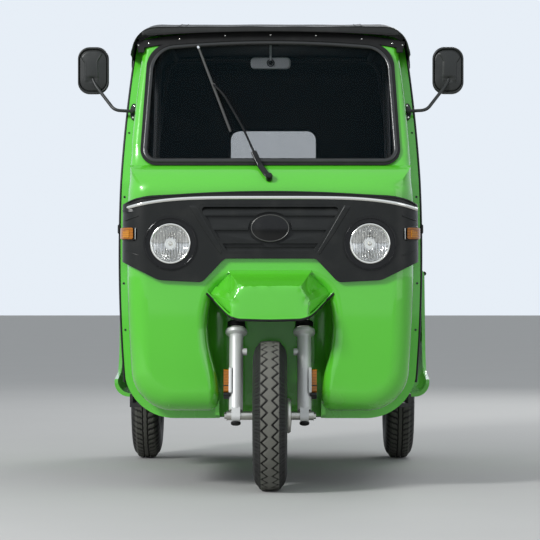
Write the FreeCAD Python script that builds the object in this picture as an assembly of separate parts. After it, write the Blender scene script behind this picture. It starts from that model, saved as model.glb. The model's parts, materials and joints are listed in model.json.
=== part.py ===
import FreeCAD
import Part
import math
import os

V = FreeCAD.Vector

# An auto rickshaw, in millimetres. X runs across, with +X on the right of someone who faces the
# front. Y runs back from the front axle while a piece is made, and keep() moves the whole vehicle
# so that its origin is at the middle of its length. Z runs up from the ground.

# Driving dimensions
WHEELBASE = 2000.0
REAR_TRACK = 1106.0
TYRE_R = 277.0
TYRE_HALF_WIDTH = 61.0
TYRE_CROWN_HALF = 40.0
TYRE_SHOULDER_R = 249.0
BEAD_R = 158.0
RIM_HALF_WIDTH = 48.0
REAR_OVERHANG = 433.0
ROOF_TOP = 1786.0
BODY_HALF_WIDTH = 650.0
FREE = 0.3

LENGTH = TYRE_R + WHEELBASE + REAR_OVERHANG
FAR = 2 * LENGTH
FRONT_AXLE_Y = TYRE_R - LENGTH / 2

# Front cowl: one outline seen from the front, one profile seen from the side
COWL_HALF = 566.0
COWL_SIDE_R = 5946.0
COWL_WIDEST_Z = 878.5
COWL_BOTTOM = 260.0
COWL_TOP = ROOF_TOP - 42.0
COWL_TOP_R = 3300.0
COWL_LOW_CORNER_R = 190.0
COWL_TOP_CORNER_R = 70.0
COWL_WALL = 16.0
FLANGE_WIDTH = 32.0
FLANGE_THICK = 14.0
FLANGE_Y = 170.0
NOSE_Y = 0.0
NOSE_SHELF_Z = 1100.0
FLANGE_KNEE_Z = NOSE_SHELF_Z + 50.0
NOSE_ROLL = 80.0
SCREEN_BASE_Y = 75.0
SCREEN_BASE_Z = NOSE_SHELF_Z + 108.0
SCREEN_RAKE = 18.1
SCREEN_TOP_Y = SCREEN_BASE_Y + (COWL_TOP - SCREEN_BASE_Z) * math.tan(math.radians(SCREEN_RAKE))
PILLAR_ROLL = 28.0

# Windscreen and its rubber
SCREEN_LOW_HALF = 489.0
SCREEN_TOP_HALF = 462.0
SCREEN_TOP = COWL_TOP - 47.0
SCREEN_ARCH_R = 4000.0
SCREEN_TOP_R = 100.0
SCREEN_LOW_R = 60.0
GASKET_WIDTH = 26.0
GASKET_PROUD = 9.0
GLASS_THICK = 6.0

# Black band with the grille and the lamps
BAND_PROUD = 18.0
BAND_TOP = NOSE_SHELF_Z + 10.0
BAND_TOP_R = 5000.0
BAND_SHOULDER_X = 480.0
BAND_SHOULDER_Z = NOSE_SHELF_Z - 10.0
BAND_END_TOP = NOSE_SHELF_Z - 42.0
BAND_END_X = 553.0
BAND_END_LOW = NOSE_SHELF_Z - 251.0
BAND_POD_LOW = NOSE_SHELF_Z - 330.0
BAND_POD_OUT = 411.0
BAND_POD_IN = 252.0
BAND_MID_LOW = NOSE_SHELF_Z - 242.0
BAND_MID_HALF = 169.0
GRILLE_TOP = NOSE_SHELF_Z - 42.0
GRILLE_LOW = GRILLE_TOP - 180.0
GRILLE_TOP_HALF = 270.0
GRILLE_LOW_HALF = 167.0
BADGE_Z = GRILLE_TOP - 87.0
BADGE_HALF_WIDE = 70.5
BADGE_HALF_HIGH = 50.5
BADGE_GAP = 10.0
LAMP_X = 369.5
LAMP_Z = NOSE_SHELF_Z - 185.0
LAMP_R = 75.0
LAMP_RIM_R = 99.0
LAMP_DEPTH = 95.0
INDICATOR_X = 530.0
INDICATOR_Z = NOSE_SHELF_Z - 148.0

# Front wheel well and steering
RAKE = 20.0
FORK_OFFSET = 40.0
FORK_HALF = 127.0
FORK_LEG_R = 26.0
FORK_TUBE_R = 20.0
FORK_COLLAR_R = 40.0
FORK_COLLAR_HIGH = 38.0
FORK_LEG_TOP = 332.0
AXLE_R = 10.0
STEM_R = 19.0
HEAD_R = 32.0
WELL_HALF = 246.0
WELL_WIDEST_Z = 585.0
WELL_FOOT_HALF = 190.0
WELL_KNEE_Z = 400.0
WELL_TOP_HALF = 205.0
WELL_TOP = 776.0
WELL_BACK = 318.0
WELL_WALL = 16.0
WELL_ROLL = 40.0
WELL_JOINT_Y = 60.0
YOKE_LOW = 425.0
YOKE_THICK = 30.0
HEAD_LOW = YOKE_LOW + YOKE_THICK + 6.0
HEAD_TOP = 640.0
BAR_ALONG = 837.0
BAR_HALF = 340.0

# Frame and floor
RAIL_X = 330.0
RAIL_WIDE = 50.0
RAIL_DEEP = 44.0
FLOOR_Z = 300.0
FLOOR_THICK = 16.0
FLOOR_HALF = 530.0
TUBE_R = 12.5
HOOP_Y = WHEELBASE - 865.0

# Rear body
BODY_FRONT = WHEELBASE - 820.0
BODY_REAR = WHEELBASE + 400.0
BELT_Z = 840.0
BODY_WALL = 14.0
SILL_Z = 372.0
BULKHEAD_Y = WHEELBASE
ARCH_R = 335.0
HOUSE_IN_X = 470.0
LID_HALF = 330.0
LID_LOW = 420.0
LID_TOP = 745.0
LID_GAP = 6.0
HINGE_XS = (-210.0, 210.0)
HINGE_R = 7.0
HINGE_PIN_R = 3.0

# Canopy
CANOPY_FRONT = SCREEN_TOP_Y - 54.0
CANOPY_LIP_Z = COWL_TOP - 3.0
CANOPY_WALL = 12.0
CANOPY_EAVE_HALF = 527.0
CANOPY_EAVE_Z = ROOF_TOP - 96.0
CANOPY_TOP_HALF = 500.0
CANOPY_CORNER_R = 95.0
CANOPY_LIP_LOW = COWL_TOP - 24.0
CANOPY_LIP_R = 6890.0
VALANCE_Z = ROOF_TOP - 186.0
QUARTER_Y = WHEELBASE - 280.0

# Engine and rear suspension
ENGINE_HALF = 210.0
ENGINE_FRONT = WHEELBASE - 60.0
ENGINE_LONG = 350.0
ENGINE_LOW = 205.0
ENGINE_HIGH = 530.0
CRADLE_END = WHEELBASE + 340.0
TOW_SPACING = 120.0
TOW_HOLE_R = 6.5
SHAFT_BOOT_R = 34.0
ARM_X = 430.0
ARM_PIVOT_Y = WHEELBASE - 310.0
SEAT_DECK_Z = 626.0
DRIVER_DECK_Z = 620.0
SEAT_SHEET = 14.0
REAR_LIGHT_HALF = 193.0
REAR_LIGHT_HIGH = ROOF_TOP - 325.0
REAR_LIGHT_LOW = REAR_LIGHT_HIGH - 271.0
SIDE_PANEL_X = HOUSE_IN_X

# Beak over the front wheel
BEAK_WIDE_Z = BAND_MID_LOW - 123.0
BEAK_TOP = BEAK_WIDE_Z + 100.0
BEAK_TOP_HALF = 168.0
BEAK_WIDE_HALF = 236.0
BEAK_LOW = BEAK_WIDE_Z - 98.0
BEAK_LOW_HALF = 100.0
BEAK_FACE_HALF = 138.0
BEAK_FACE_TOP_HALF = 112.0
BEAK_FRONT_Y = -120.0
BEAK_SEAT_Y = 40.0
BEAK_WALL = 14.0
BEAK_FACET_DEEP = 7.0


# Basic shapes
def rounded_face(corners, place):
    """Flat face inside straight runs. Each corner is (u, v, radius), and place makes a point."""
    count = len(corners)
    starts = []
    edges = []
    for i in range(count):
        u, v, radius = corners[i]
        here = V(u, v, 0)
        to_last = V(corners[i - 1][0], corners[i - 1][1], 0) - here
        after = corners[(i + 1) % count]
        to_next = V(after[0], after[1], 0) - here
        to_last.normalize()
        to_next.normalize()
        half = to_last.getAngle(to_next) / 2
        reach = radius / math.tan(half) if radius > 0 else 0.0
        middle = to_last + to_next
        if radius > 0:
            middle.normalize()
        depth = radius / math.sin(half) - radius if radius > 0 else 0.0
        starts.append((here + to_last * reach, here + middle * depth, here + to_next * reach))
    for i in range(count):
        first, middle, last = starts[i]
        if corners[i][2] > 0:
            arc = Part.Arc(place(first.x, first.y), place(middle.x, middle.y), place(last.x, last.y))
            edges.append(arc.toShape())
        following = starts[(i + 1) % count][0]
        if (following - last).Length > 1e-6:
            edges.append(Part.makeLine(place(last.x, last.y), place(following.x, following.y)))
    return Part.Face(Part.Wire(edges))


def prism_x(corners, x0, x1):
    """Solid with an outline of (y, z, radius) corners, between two planes across the vehicle."""
    return rounded_face(corners, lambda u, v: V(x0, u, v)).extrude(V(x1 - x0, 0, 0))


def prism_y(corners, y0, y1):
    """Solid with an outline of (x, z, radius) corners, between two stations."""
    return rounded_face(corners, lambda u, v: V(u, y0, v)).extrude(V(0, y1 - y0, 0))


def prism_z(corners, z0, z1):
    """Solid with a plan of (x, y, radius) corners, between two heights."""
    return rounded_face(corners, lambda u, v: V(u, v, z0)).extrude(V(0, 0, z1 - z0))


def block(x0, x1, y0, y1, z0, z1):
    """Box between two corners."""
    return Part.makeBox(x1 - x0, y1 - y0, z1 - z0, V(x0, y0, z0))


def rod(start, end, radius):
    """Round bar between two points."""
    way = end - start
    return Part.makeCylinder(radius, way.Length, start, way)


def bent_rod(route, radius, bend):
    """Round bar along straight runs, with the same bend radius at every inner point."""
    pieces = []
    last = route[0]
    for i in range(1, len(route) - 1):
        here = route[i]
        back = (route[i - 1] - here).normalize()
        on = (route[i + 1] - here).normalize()
        half = back.getAngle(on) / 2
        reach = bend / math.tan(half)
        centre = here + (back + on).normalize() * (bend / math.sin(half))
        enter = here + back * reach
        leave = here + on * reach
        if (enter - last).Length > 1e-6:
            pieces.append(rod(last, enter, radius))
        disc = Part.Face(Part.Wire(Part.Circle(enter, back, radius).toShape()))
        axis = (enter - centre).cross(leave - centre)
        pieces.append(disc.revolve(centre, axis, 180 - math.degrees(2 * half)))
        last = leave
    pieces.append(rod(last, route[-1], radius))
    return pieces[0].fuse(pieces[1:]).removeSplitter()


def turned(profile, centre, axis):
    """Ring or disc: a closed (along, radius) outline turned about an axis through a centre."""
    across = V(0, 0, 1) if abs(axis.z) < 0.5 else V(0, 1, 0)
    points = [centre + axis * along + across * radius for along, radius in profile]
    face = Part.Face(Part.makePolygon(points + points[:1]))
    return face.revolve(centre, axis, 360)


def both_sides(solid):
    """The piece and its mirror image across the middle plane."""
    return [solid, solid.mirror(V(0, 0, 0), V(1, 0, 0))]


def leaned(solid):
    """Move a piece from the upright frame of the steering axis to its raked place."""
    moved = solid.copy()
    moved.rotate(V(0, 0, 0), V(1, 0, 0), -RAKE)
    moved.translate(steering_origin())
    return moved


def steering_origin():
    """Point of the steering axis that is square to it from the middle of the front wheel."""
    lean = math.radians(RAKE)
    return V(0, FORK_OFFSET * math.cos(lean), TYRE_R - FORK_OFFSET * math.sin(lean))


def keep(name, *solids):
    """Write one node, moved so that the origin is at the middle of the vehicle's length."""
    pieces = []
    for solid in solids:
        for piece in solid.Solids:
            piece = piece.copy()
            piece.translate(V(0, FRONT_AXLE_Y, 0))
            pieces.append(piece)
    shape = pieces[0] if len(pieces) == 1 else Part.makeCompound(pieces)
    print(name, len(pieces), "solids", round(shape.Volume / 1e6, 3), "litres", shape.isValid())
    shape.exportStep("parts/" + name + ".step")


# Front cowl
def cowl_outline(inset, y0, y1):
    """The cowl seen from the front, as a solid between two stations, drawn in by an inset."""
    side_r = COWL_SIDE_R - inset
    right = Part.makeCylinder(side_r, y1 - y0, V(COWL_HALF - COWL_SIDE_R, y0, COWL_WIDEST_Z), V(0, 1, 0))
    left = Part.makeCylinder(side_r, y1 - y0, V(COWL_SIDE_R - COWL_HALF, y0, COWL_WIDEST_Z), V(0, 1, 0))
    top = Part.makeCylinder(COWL_TOP_R - inset, y1 - y0, V(0, y0, COWL_TOP - COWL_TOP_R), V(0, 1, 0))
    slab = block(-COWL_HALF, COWL_HALF, y0, y1, COWL_BOTTOM + inset, COWL_TOP + 1)
    solid = slab.common(right).common(left).common(top)
    low = [e for e in solid.Edges if is_long_corner(e, y1 - y0) and e.CenterOfMass.z < COWL_WIDEST_Z]
    solid = solid.makeFillet(COWL_LOW_CORNER_R - inset, low)
    high = [e for e in solid.Edges if is_long_corner(e, y1 - y0) and e.CenterOfMass.z > COWL_TOP - 200]
    return solid.makeFillet(max(COWL_TOP_CORNER_R - inset, 5.0), high)


def is_long_corner(edge, length):
    """True for a straight edge that runs the whole length along Y at the side of the outline."""
    box = edge.BoundBox
    straight = box.XLength < 0.01 and box.ZLength < 0.01
    return straight and abs(box.YLength - length) < 0.01 and abs(edge.CenterOfMass.x) > 1


def screen_y(z, ahead=0.0):
    """Station of the windscreen plane at a height, moved forward square to the plane."""
    lean = math.radians(SCREEN_RAKE)
    return SCREEN_BASE_Y + (z - SCREEN_BASE_Z) * math.tan(lean) - ahead / math.cos(lean)


def cowl_edge_x(z):
    """Half the width of the cowl at a height, over its flange."""
    rise = z - COWL_WIDEST_Z
    return COWL_HALF - COWL_SIDE_R + math.sqrt(COWL_SIDE_R * COWL_SIDE_R - rise * rise)


def flange_y(z):
    """Station of the middle of the flange at a height: upright, then along the windscreen."""
    lean = math.tan(math.radians(SCREEN_RAKE))
    return FLANGE_Y + max(0.0, z - FLANGE_KNEE_Z) * lean


def shelf_radius():
    """Radius of the arc from the upright nose to the foot of the windscreen."""
    back = SCREEN_BASE_Y - NOSE_Y
    rise = SCREEN_BASE_Z - NOSE_SHELF_Z
    return (back * back + rise * rise) / (2 * back)


def nose_block(inset):
    """Lower cowl: upright nose with a rolled edge, and the shelf that curves back to the windscreen."""
    radius = shelf_radius() - inset
    centre = V(-COWL_HALF, NOSE_Y + shelf_radius(), NOSE_SHELF_Z)
    turn = math.atan2(SCREEN_BASE_Z - NOSE_SHELF_Z, shelf_radius() + NOSE_Y - SCREEN_BASE_Y)
    end = centre + V(0, -radius * math.cos(turn), radius * math.sin(turn))
    middle = centre + V(0, -radius * math.cos(turn / 2), radius * math.sin(turn / 2))
    foot = V(-COWL_HALF, NOSE_Y + inset, COWL_BOTTOM)
    shelf = V(-COWL_HALF, NOSE_Y + inset, NOSE_SHELF_Z)
    back = V(-COWL_HALF, FLANGE_Y, end.z)
    low = V(-COWL_HALF, FLANGE_Y, COWL_BOTTOM)
    edges = [
        Part.makeLine(foot, shelf),
        Part.Arc(shelf, middle, end).toShape(),
        Part.makeLine(end, back),
        Part.makeLine(back, low),
        Part.makeLine(low, foot),
    ]
    side = Part.Face(Part.Wire(edges)).extrude(V(2 * COWL_HALF, 0, 0))
    face = cowl_outline(FLANGE_WIDTH + inset, NOSE_Y + inset, FLANGE_Y + 40)
    rim = [edge for edge in face.Edges if abs(edge.BoundBox.YMax - NOSE_Y - inset) < 0.01]
    return side.common(softened(face, NOSE_ROLL - inset, rim, inset > 0))


def screen_block(inset):
    """Upper cowl: the frame round the windscreen, a slab between two raked planes."""
    low = FLANGE_KNEE_Z - 100 + inset
    high = COWL_TOP + 30
    corners = [
        (screen_y(low, -inset), low, 0),
        (screen_y(high, -inset), high, 0),
        (flange_y(high), high, 0),
        (flange_y(FLANGE_KNEE_Z), FLANGE_KNEE_Z, 0),
        (flange_y(low), low, 0),
    ]
    side = prism_x(corners, -COWL_HALF, COWL_HALF)
    solid = side.common(cowl_outline(FLANGE_WIDTH + inset, NOSE_Y - 60, flange_y(high) + 40))
    return rolled(solid, max(PILLAR_ROLL - inset, 3.0), low, inset > 0)


def rolled(solid, radius, square_z, hollow):
    """Round the edges where a front face meets a side, apart from the flat end at one height."""
    chosen = []
    for edge in solid.Edges:
        faces = solid.ancestorsOfType(edge, Part.Face)
        fronts = [face for face in faces if faces_front(face)]
        sides = [face for face in faces if is_outline_side(face)]
        sides = [face for face in sides if abs(face.CenterOfMass.z - square_z) > 1]
        if fronts and sides:
            chosen.append(edge)
    return softened(solid, radius, chosen, hollow)


def softened(solid, radius, edges, hollow):
    """Round edges, or bevel them where the form is a hollow that nobody sees.

    The bevel touches the round at its middle, so that the wall is as thick there.
    """
    if hollow:
        return solid.makeChamfer(radius * (2 - math.sqrt(2)), edges)
    return solid.makeFillet(radius, edges)


def faces_front(face):
    """True for a face whose outward side looks forward and not across the vehicle."""
    u0, u1, v0, v1 = face.ParameterRange
    normal = face.normalAt((u0 + u1) / 2, (v0 + v1) / 2)
    return abs(normal.x) < 0.01 and normal.y < -0.3


def is_outline_side(face):
    """True for a face that runs along Y, as the outline's sides, corners and ends do."""
    u0, u1, v0, v1 = face.ParameterRange
    normal = face.normalAt((u0 + u1) / 2, (v0 + v1) / 2)
    return abs(normal.y) < 0.01


def cowl_body(inset):
    """Outer form of the cowl, without its flange, drawn in by an inset."""
    return nose_block(inset).fuse(screen_block(inset))


def cowl_cavity():
    """Hollow of the cowl, open at the back."""
    inner = cowl_body(COWL_WALL)
    back = FLANGE_Y + 30
    extra = cowl_outline(FLANGE_WIDTH + COWL_WALL, FLANGE_Y - 1, back)
    extra = extra.common(block(-COWL_HALF, COWL_HALF, FLANGE_Y - 1, back, COWL_BOTTOM, FLANGE_KNEE_Z + 20))
    return inner.fuse(extra).fuse(behind_flange_plane())


def behind_flange_plane():
    """Thin raked slab behind the windscreen frame, which opens the frame's hollow to the cabin."""
    low = FLANGE_KNEE_Z
    high = COWL_TOP - FLANGE_WIDTH - COWL_WALL
    corners = [
        (flange_y(low) - 1, low, 0),
        (flange_y(high) - 1, high, 0),
        (flange_y(high) + 30, high, 0),
        (flange_y(low) + 30, low, 0),
    ]
    slab = prism_x(corners, -COWL_HALF, COWL_HALF)
    return slab.common(cowl_outline(FLANGE_WIDTH + COWL_WALL, FLANGE_Y - 5, flange_y(high) + 40))


def flange_ring():
    """Flat flange round the back of the cowl, bent where the windscreen's slope begins."""
    half = FLANGE_THICK / 2
    high = COWL_TOP + 20
    corners = [
        (FLANGE_Y - half, COWL_BOTTOM - 10, 0),
        (FLANGE_Y - half, FLANGE_KNEE_Z, 0),
        (flange_y(high) - half, high, 0),
        (flange_y(high) + half, high, 0),
        (FLANGE_Y + half, FLANGE_KNEE_Z, 0),
        (FLANGE_Y + half, COWL_BOTTOM - 10, 0),
    ]
    strip = prism_x(corners, -COWL_HALF - 5, COWL_HALF + 5)
    y0 = FLANGE_Y - 20
    y1 = flange_y(high) + 20
    ring = cowl_outline(0, y0, y1).cut(cowl_outline(FLANGE_WIDTH + COWL_WALL, y0, y1))
    return strip.common(ring)


def screen_outline(grow, y0, y1):
    """The windscreen rubber's outer edge seen from the front, made larger or smaller."""
    taper = (SCREEN_LOW_HALF - SCREEN_TOP_HALF) / (SCREEN_TOP - SCREEN_BASE_Z)
    high = SCREEN_TOP + 60
    high_half = SCREEN_LOW_HALF - taper * (high - SCREEN_BASE_Z) + grow
    low_half = SCREEN_LOW_HALF + taper * grow + grow
    corners = [
        (-low_half, SCREEN_BASE_Z - grow, SCREEN_LOW_R + grow),
        (low_half, SCREEN_BASE_Z - grow, SCREEN_LOW_R + grow),
        (high_half, high, 0),
        (-high_half, high, 0),
    ]
    arch_r = SCREEN_ARCH_R + grow
    arch = Part.makeCylinder(arch_r, y1 - y0, V(0, y0, SCREEN_TOP - SCREEN_ARCH_R), V(0, 1, 0))
    solid = prism_y(corners, y0, y1).common(arch)
    top = [e for e in solid.Edges if is_long_corner(e, y1 - y0) and e.CenterOfMass.z > SCREEN_TOP - 80]
    return solid.makeFillet(SCREEN_TOP_R + grow, top)


def screen_slab(grow, ahead, behind):
    """Part of the windscreen's plane between two depths, inside the outline seen from the front."""
    low = SCREEN_BASE_Z - 60
    high = SCREEN_TOP + 60
    band = [
        (screen_y(low, ahead), low, 0),
        (screen_y(high, ahead), high, 0),
        (screen_y(high, -behind), high, 0),
        (screen_y(low, -behind), low, 0),
    ]
    slab = prism_x(band, -COWL_HALF, COWL_HALF)
    return slab.common(screen_outline(grow, -50, 600))


def front_cowl(pressed):
    """Pressed front of the cabin, with its flange, windscreen opening, lamp holes and wheel well."""
    mouth = well_form(WELL_WALL, NOSE_Y - 40).common(block(-400, 400, -100, WELL_JOINT_Y, 0, COWL_TOP))
    solid = pressed.fuse(flange_ring()).cut(cowl_cavity().cut(mouth))
    solid = solid.cut(screen_outline(-GASKET_WIDTH / 2, -50, 600))
    for lamp in both_sides(rod(V(LAMP_X, -60, LAMP_Z), V(LAMP_X, 60, LAMP_Z), LAMP_R + 12)):
        solid = solid.cut(lamp)
    return solid.cut(well_form(0, NOSE_Y - 40)).cut(well_form(WELL_WALL, WELL_JOINT_Y))


def mouth_rolled(outer):
    """The cowl's outer form with the wheel well cut in and the well's edge rolled inwards."""
    solid = outer.cut(well_form(0, NOSE_Y - 40))
    mouth = []
    for edge in solid.Edges:
        box = edge.BoundBox
        inside = box.XMin > -WELL_HALF - 1 and box.XMax < WELL_HALF + 1 and box.ZMax < WELL_TOP + 1
        if inside and box.YMax < NOSE_Y + 1 and box.YMin > NOSE_Y - 1:
            mouth.append(edge)
    return solid.makeFillet(WELL_ROLL, mouth)


# Front wheel well
def well_corners(grow):
    """Opening of the wheel well seen from the front, made larger by a wall."""
    half = [
        (WELL_FOOT_HALF + grow, COWL_BOTTOM - 40, 0),
        (WELL_FOOT_HALF + grow, WELL_KNEE_Z, 500 - grow),
        (WELL_HALF + grow, WELL_WIDEST_Z, 400 + grow),
        (WELL_TOP_HALF + grow, WELL_TOP + grow, 90 + grow),
    ]
    return half + [(-x, z, radius) for x, z, radius in reversed(half)]


def well_form(grow, front):
    """Space of the well from a front station to its rounded back, made larger by a wall."""
    half = WELL_HALF + grow
    back = WELL_BACK - WELL_WALL + grow
    plan = [(-half, front, 0), (half, front, 0), (half, back, 84 + grow), (-half, back, 84 + grow)]
    return prism_y(well_corners(grow), front, WELL_BACK + 20).common(prism_z(plan, 200, 900))


def wheel_arch():
    """Shell of the front wheel well, from the cowl's front wall back to the cabin."""
    shell = well_form(WELL_WALL, WELL_JOINT_Y).cut(well_form(0, WELL_JOINT_Y - 1))
    shell = shell.cut(block(-400, 400, -200, 900, 0, COWL_BOTTOM))
    shell = shell.cut(block(-400, 400, -200, FLANGE_Y + FLANGE_THICK / 2, 0, COWL_BOTTOM + COWL_WALL))
    head = leaned(Part.makeCylinder(HEAD_R + FREE, 400, V(0, 0, HEAD_LOW), V(0, 0, 1)))
    return shell.cut(head)


# Fork cowl: the beak over the front wheel
def beak_wire(y, top_half, top, wide_half, wide_z, low_half, low):
    """One section of the beak, square to Y: six corners, from the top left round by the right."""
    points = [
        V(-top_half, y, top),
        V(top_half, y, top),
        V(wide_half, y, wide_z),
        V(low_half, y, low),
        V(-low_half, y, low),
        V(-wide_half, y, wide_z),
    ]
    return Part.makePolygon(points + points[:1])


def beak_form(inset):
    """Beak between a wide section on the cowl and a small one in front, bowed along its lower edge."""
    back = beak_wire(
        BEAK_SEAT_Y, BEAK_TOP_HALF - inset, BEAK_TOP - inset, BEAK_WIDE_HALF - inset, BEAK_WIDE_Z,
        BEAK_WIDE_HALF - inset - 10, BEAK_LOW - 20,
    )
    front = beak_wire(
        BEAK_FRONT_Y + inset, BEAK_FACE_TOP_HALF - inset, BEAK_TOP - 80 - inset,
        BEAK_FACE_HALF - inset, BEAK_WIDE_Z - 35, BEAK_FACE_HALF - inset, BEAK_LOW - 20,
    )
    bow = [
        (-BEAK_WIDE_HALF - 20, BEAK_WIDE_Z + 4, 0), (-BEAK_WIDE_HALF + 6, BEAK_WIDE_Z - 4, 0),
        (-BEAK_LOW_HALF - 40, BEAK_LOW + 4, 70), (0, BEAK_LOW, 1500),
        (BEAK_LOW_HALF + 40, BEAK_LOW + 4, 70), (BEAK_WIDE_HALF - 6, BEAK_WIDE_Z - 4, 0),
        (BEAK_WIDE_HALF + 20, BEAK_WIDE_Z + 4, 0), (BEAK_WIDE_HALF + 20, BEAK_TOP + 20, 0),
        (-BEAK_WIDE_HALF - 20, BEAK_TOP + 20, 0),
    ]
    return Part.makeLoft([back, front], True, True).common(prism_y(bow, BEAK_FRONT_Y - 20, 60))


def fork_cowl(pressed):
    """Beak over the wheel, open below, with a sunk facet each side, seated on the front of the cowl."""
    inner = beak_form(BEAK_WALL)
    below = inner.copy()
    below.translate(V(0, 0, -60))
    solid = beak_form(0).cut(inner).cut(below)
    skin = beak_form(0).cut(beak_form(BEAK_FACET_DEEP))
    facet = prism_y(
        [
            (BEAK_FACE_TOP_HALF + 34, BEAK_TOP - 22, 8), (BEAK_FACE_HALF + 6, BEAK_WIDE_Z - 6, 8),
            (BEAK_WIDE_HALF - 20, BEAK_WIDE_Z + 28, 8),
        ],
        BEAK_FRONT_Y, BEAK_SEAT_Y,
    )
    for part in both_sides(facet.common(skin)):
        solid = solid.cut(part)
    return solid.cut(pressed).common(block(-400, 400, BEAK_FRONT_Y, WELL_JOINT_Y - 5, 0, COWL_TOP))


# Band with grille and lamps
def band_outline(y0, y1):
    """Outline of the band seen from the front: a wide mask with a pod under each headlamp."""
    rise = BAND_TOP_R * (1 / math.cos(math.atan2(BAND_TOP - BAND_SHOULDER_Z, BAND_SHOULDER_X)) - 1)
    half = [
        (BAND_MID_HALF, BAND_MID_LOW, 24), (BAND_POD_IN, BAND_POD_LOW, 34),
        (BAND_POD_OUT, BAND_POD_LOW + 8, 70),
        (BAND_END_X + 3, BAND_END_LOW, 16), (BAND_END_X, BAND_END_TOP, 14),
        (BAND_SHOULDER_X, BAND_SHOULDER_Z, 260),
    ]
    corners = half + [(0, BAND_TOP + rise, BAND_TOP_R)]
    corners += [(-x, z, radius) for x, z, radius in reversed(half)]
    return prism_y(corners, y0, y1)


def grille_corners(inset):
    """Opening of the grille seen from the front, drawn in by an inset."""
    return [
        (-GRILLE_LOW_HALF + inset, GRILLE_LOW + inset, 12),
        (GRILLE_LOW_HALF - inset, GRILLE_LOW + inset, 12),
        (GRILLE_TOP_HALF - inset, GRILLE_TOP - inset, 12),
        (-GRILLE_TOP_HALF + inset, GRILLE_TOP - inset, 12),
    ]


def grille_band(skin):
    """Black mask across the nose, with holes for the grille and the headlamps."""
    plate = skin.common(band_outline(-60, FLANGE_Y - FLANGE_THICK / 2))
    plate = plate.cut(prism_y(grille_corners(0), -80, 80))
    for lamp in both_sides(rod(V(LAMP_X, -60, LAMP_Z), V(LAMP_X, 80, LAMP_Z), LAMP_RIM_R)):
        plate = plate.cut(lamp)
    return plate


def grille_insert():
    """Slats across the grille, tilted up, between two side cheeks, with a blank oval boss.

    Each slat has a sloped face from its top to a short upright lip along its lower edge. The table
    gives both as depths below the top of the grille.
    """
    depth = BAND_PROUD - 1
    floor_y = NOSE_Y - 4
    lip = 10
    frame = prism_y(grille_corners(0), -depth, NOSE_Y)
    solid = frame.cut(prism_y(grille_corners(8), -depth - 1, floor_y))
    slats = ((9, 41), (56, 94), (108, 144), (156, 186))
    for drop, foot in slats:
        top = GRILLE_TOP - drop
        low = GRILLE_TOP - foot
        section = [(floor_y, top, 0), (-depth, low + lip, 0), (-depth, low, 0), (floor_y, low, 0)]
        bar = prism_x(section, -GRILLE_TOP_HALF, GRILLE_TOP_HALF)
        solid = solid.fuse(bar.common(frame))
    solid = solid.cut(badge(BADGE_GAP, -depth - 1, floor_y))
    return solid.fuse(badge(0, -depth - 3, floor_y))


def badge(grow, y0, y1):
    """Oval seen from the front, made larger by a gap, between two stations."""
    centre = V(0, y0, BADGE_Z)
    oval = Part.Edge(Part.Ellipse(centre, BADGE_HALF_WIDE + grow, BADGE_HALF_HIGH + grow))
    oval.rotate(centre, V(1, 0, 0), 90)
    return Part.Face(Part.Wire(oval)).extrude(V(0, y1 - y0, 0))


def headlamp_housing():
    """Round bowl with a raised rim, seated in the band and the cowl."""
    profile = [
        (-BAND_PROUD - 6, LAMP_RIM_R - 8), (-BAND_PROUD - 6, LAMP_RIM_R - FREE),
        (-3, LAMP_RIM_R - FREE), (-3, LAMP_R + 10), (30, LAMP_R + 10), (LAMP_DEPTH, 30),
        (LAMP_DEPTH, 0), (LAMP_DEPTH - 8, 0), (LAMP_DEPTH - 8, 26), (26, LAMP_R + 2),
        (-14, LAMP_R + 2), (-14, LAMP_RIM_R - 8),
    ]
    return turned(profile, V(LAMP_X, 0, LAMP_Z), V(0, 1, 0))


def headlamp_lens():
    """Domed round glass in the lamp's mouth."""
    profile = [
        (-22, 0), (-20, 40), (-12, LAMP_R + 1), (-7, LAMP_R + 1), (-15, 40), (-17, 0),
    ]
    return turned(profile, V(LAMP_X, 0, LAMP_Z), V(0, 1, 0))


def indicator_lamp(skin_outer):
    """Amber lamp on the rounded end of the band."""
    lamp = prism_y(
        [
            (INDICATOR_X - 22, INDICATOR_Z - 21, 6), (INDICATOR_X + 30, INDICATOR_Z - 21, 6),
            (INDICATOR_X + 30, INDICATOR_Z + 21, 6), (INDICATOR_X - 22, INDICATOR_Z + 21, 6),
        ],
        -40, 150,
    )
    return lamp.common(cowl_body(-BAND_PROUD - 8)).cut(skin_outer)


# Windscreen
def windscreen_gasket(cowl):
    """Rubber section round the windscreen, on both sides of the cowl's edge."""
    ring = screen_slab(0, GASKET_PROUD, COWL_WALL + 8)
    hole = screen_slab(-GASKET_WIDTH, GASKET_PROUD + 5, COWL_WALL + 20)
    ring = ring.cut(hole)
    return ring.cut(cowl).cut(windscreen_glass())


def windscreen_glass():
    """Flat laminated glass held in the middle of the rubber."""
    return screen_slab(-GASKET_WIDTH + 10, -3, 3 + GLASS_THICK)


# Wheels
def tyre(centre, half):
    """Road tyre as a closed ring: level crown, sloped shoulders and upright walls."""
    profile = [
        (-half, BEAD_R), (-half, TYRE_SHOULDER_R), (-TYRE_CROWN_HALF, TYRE_R),
        (TYRE_CROWN_HALF, TYRE_R), (half, TYRE_SHOULDER_R), (half, BEAD_R),
    ]
    return turned(profile, centre, V(1, 0, 0))


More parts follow.
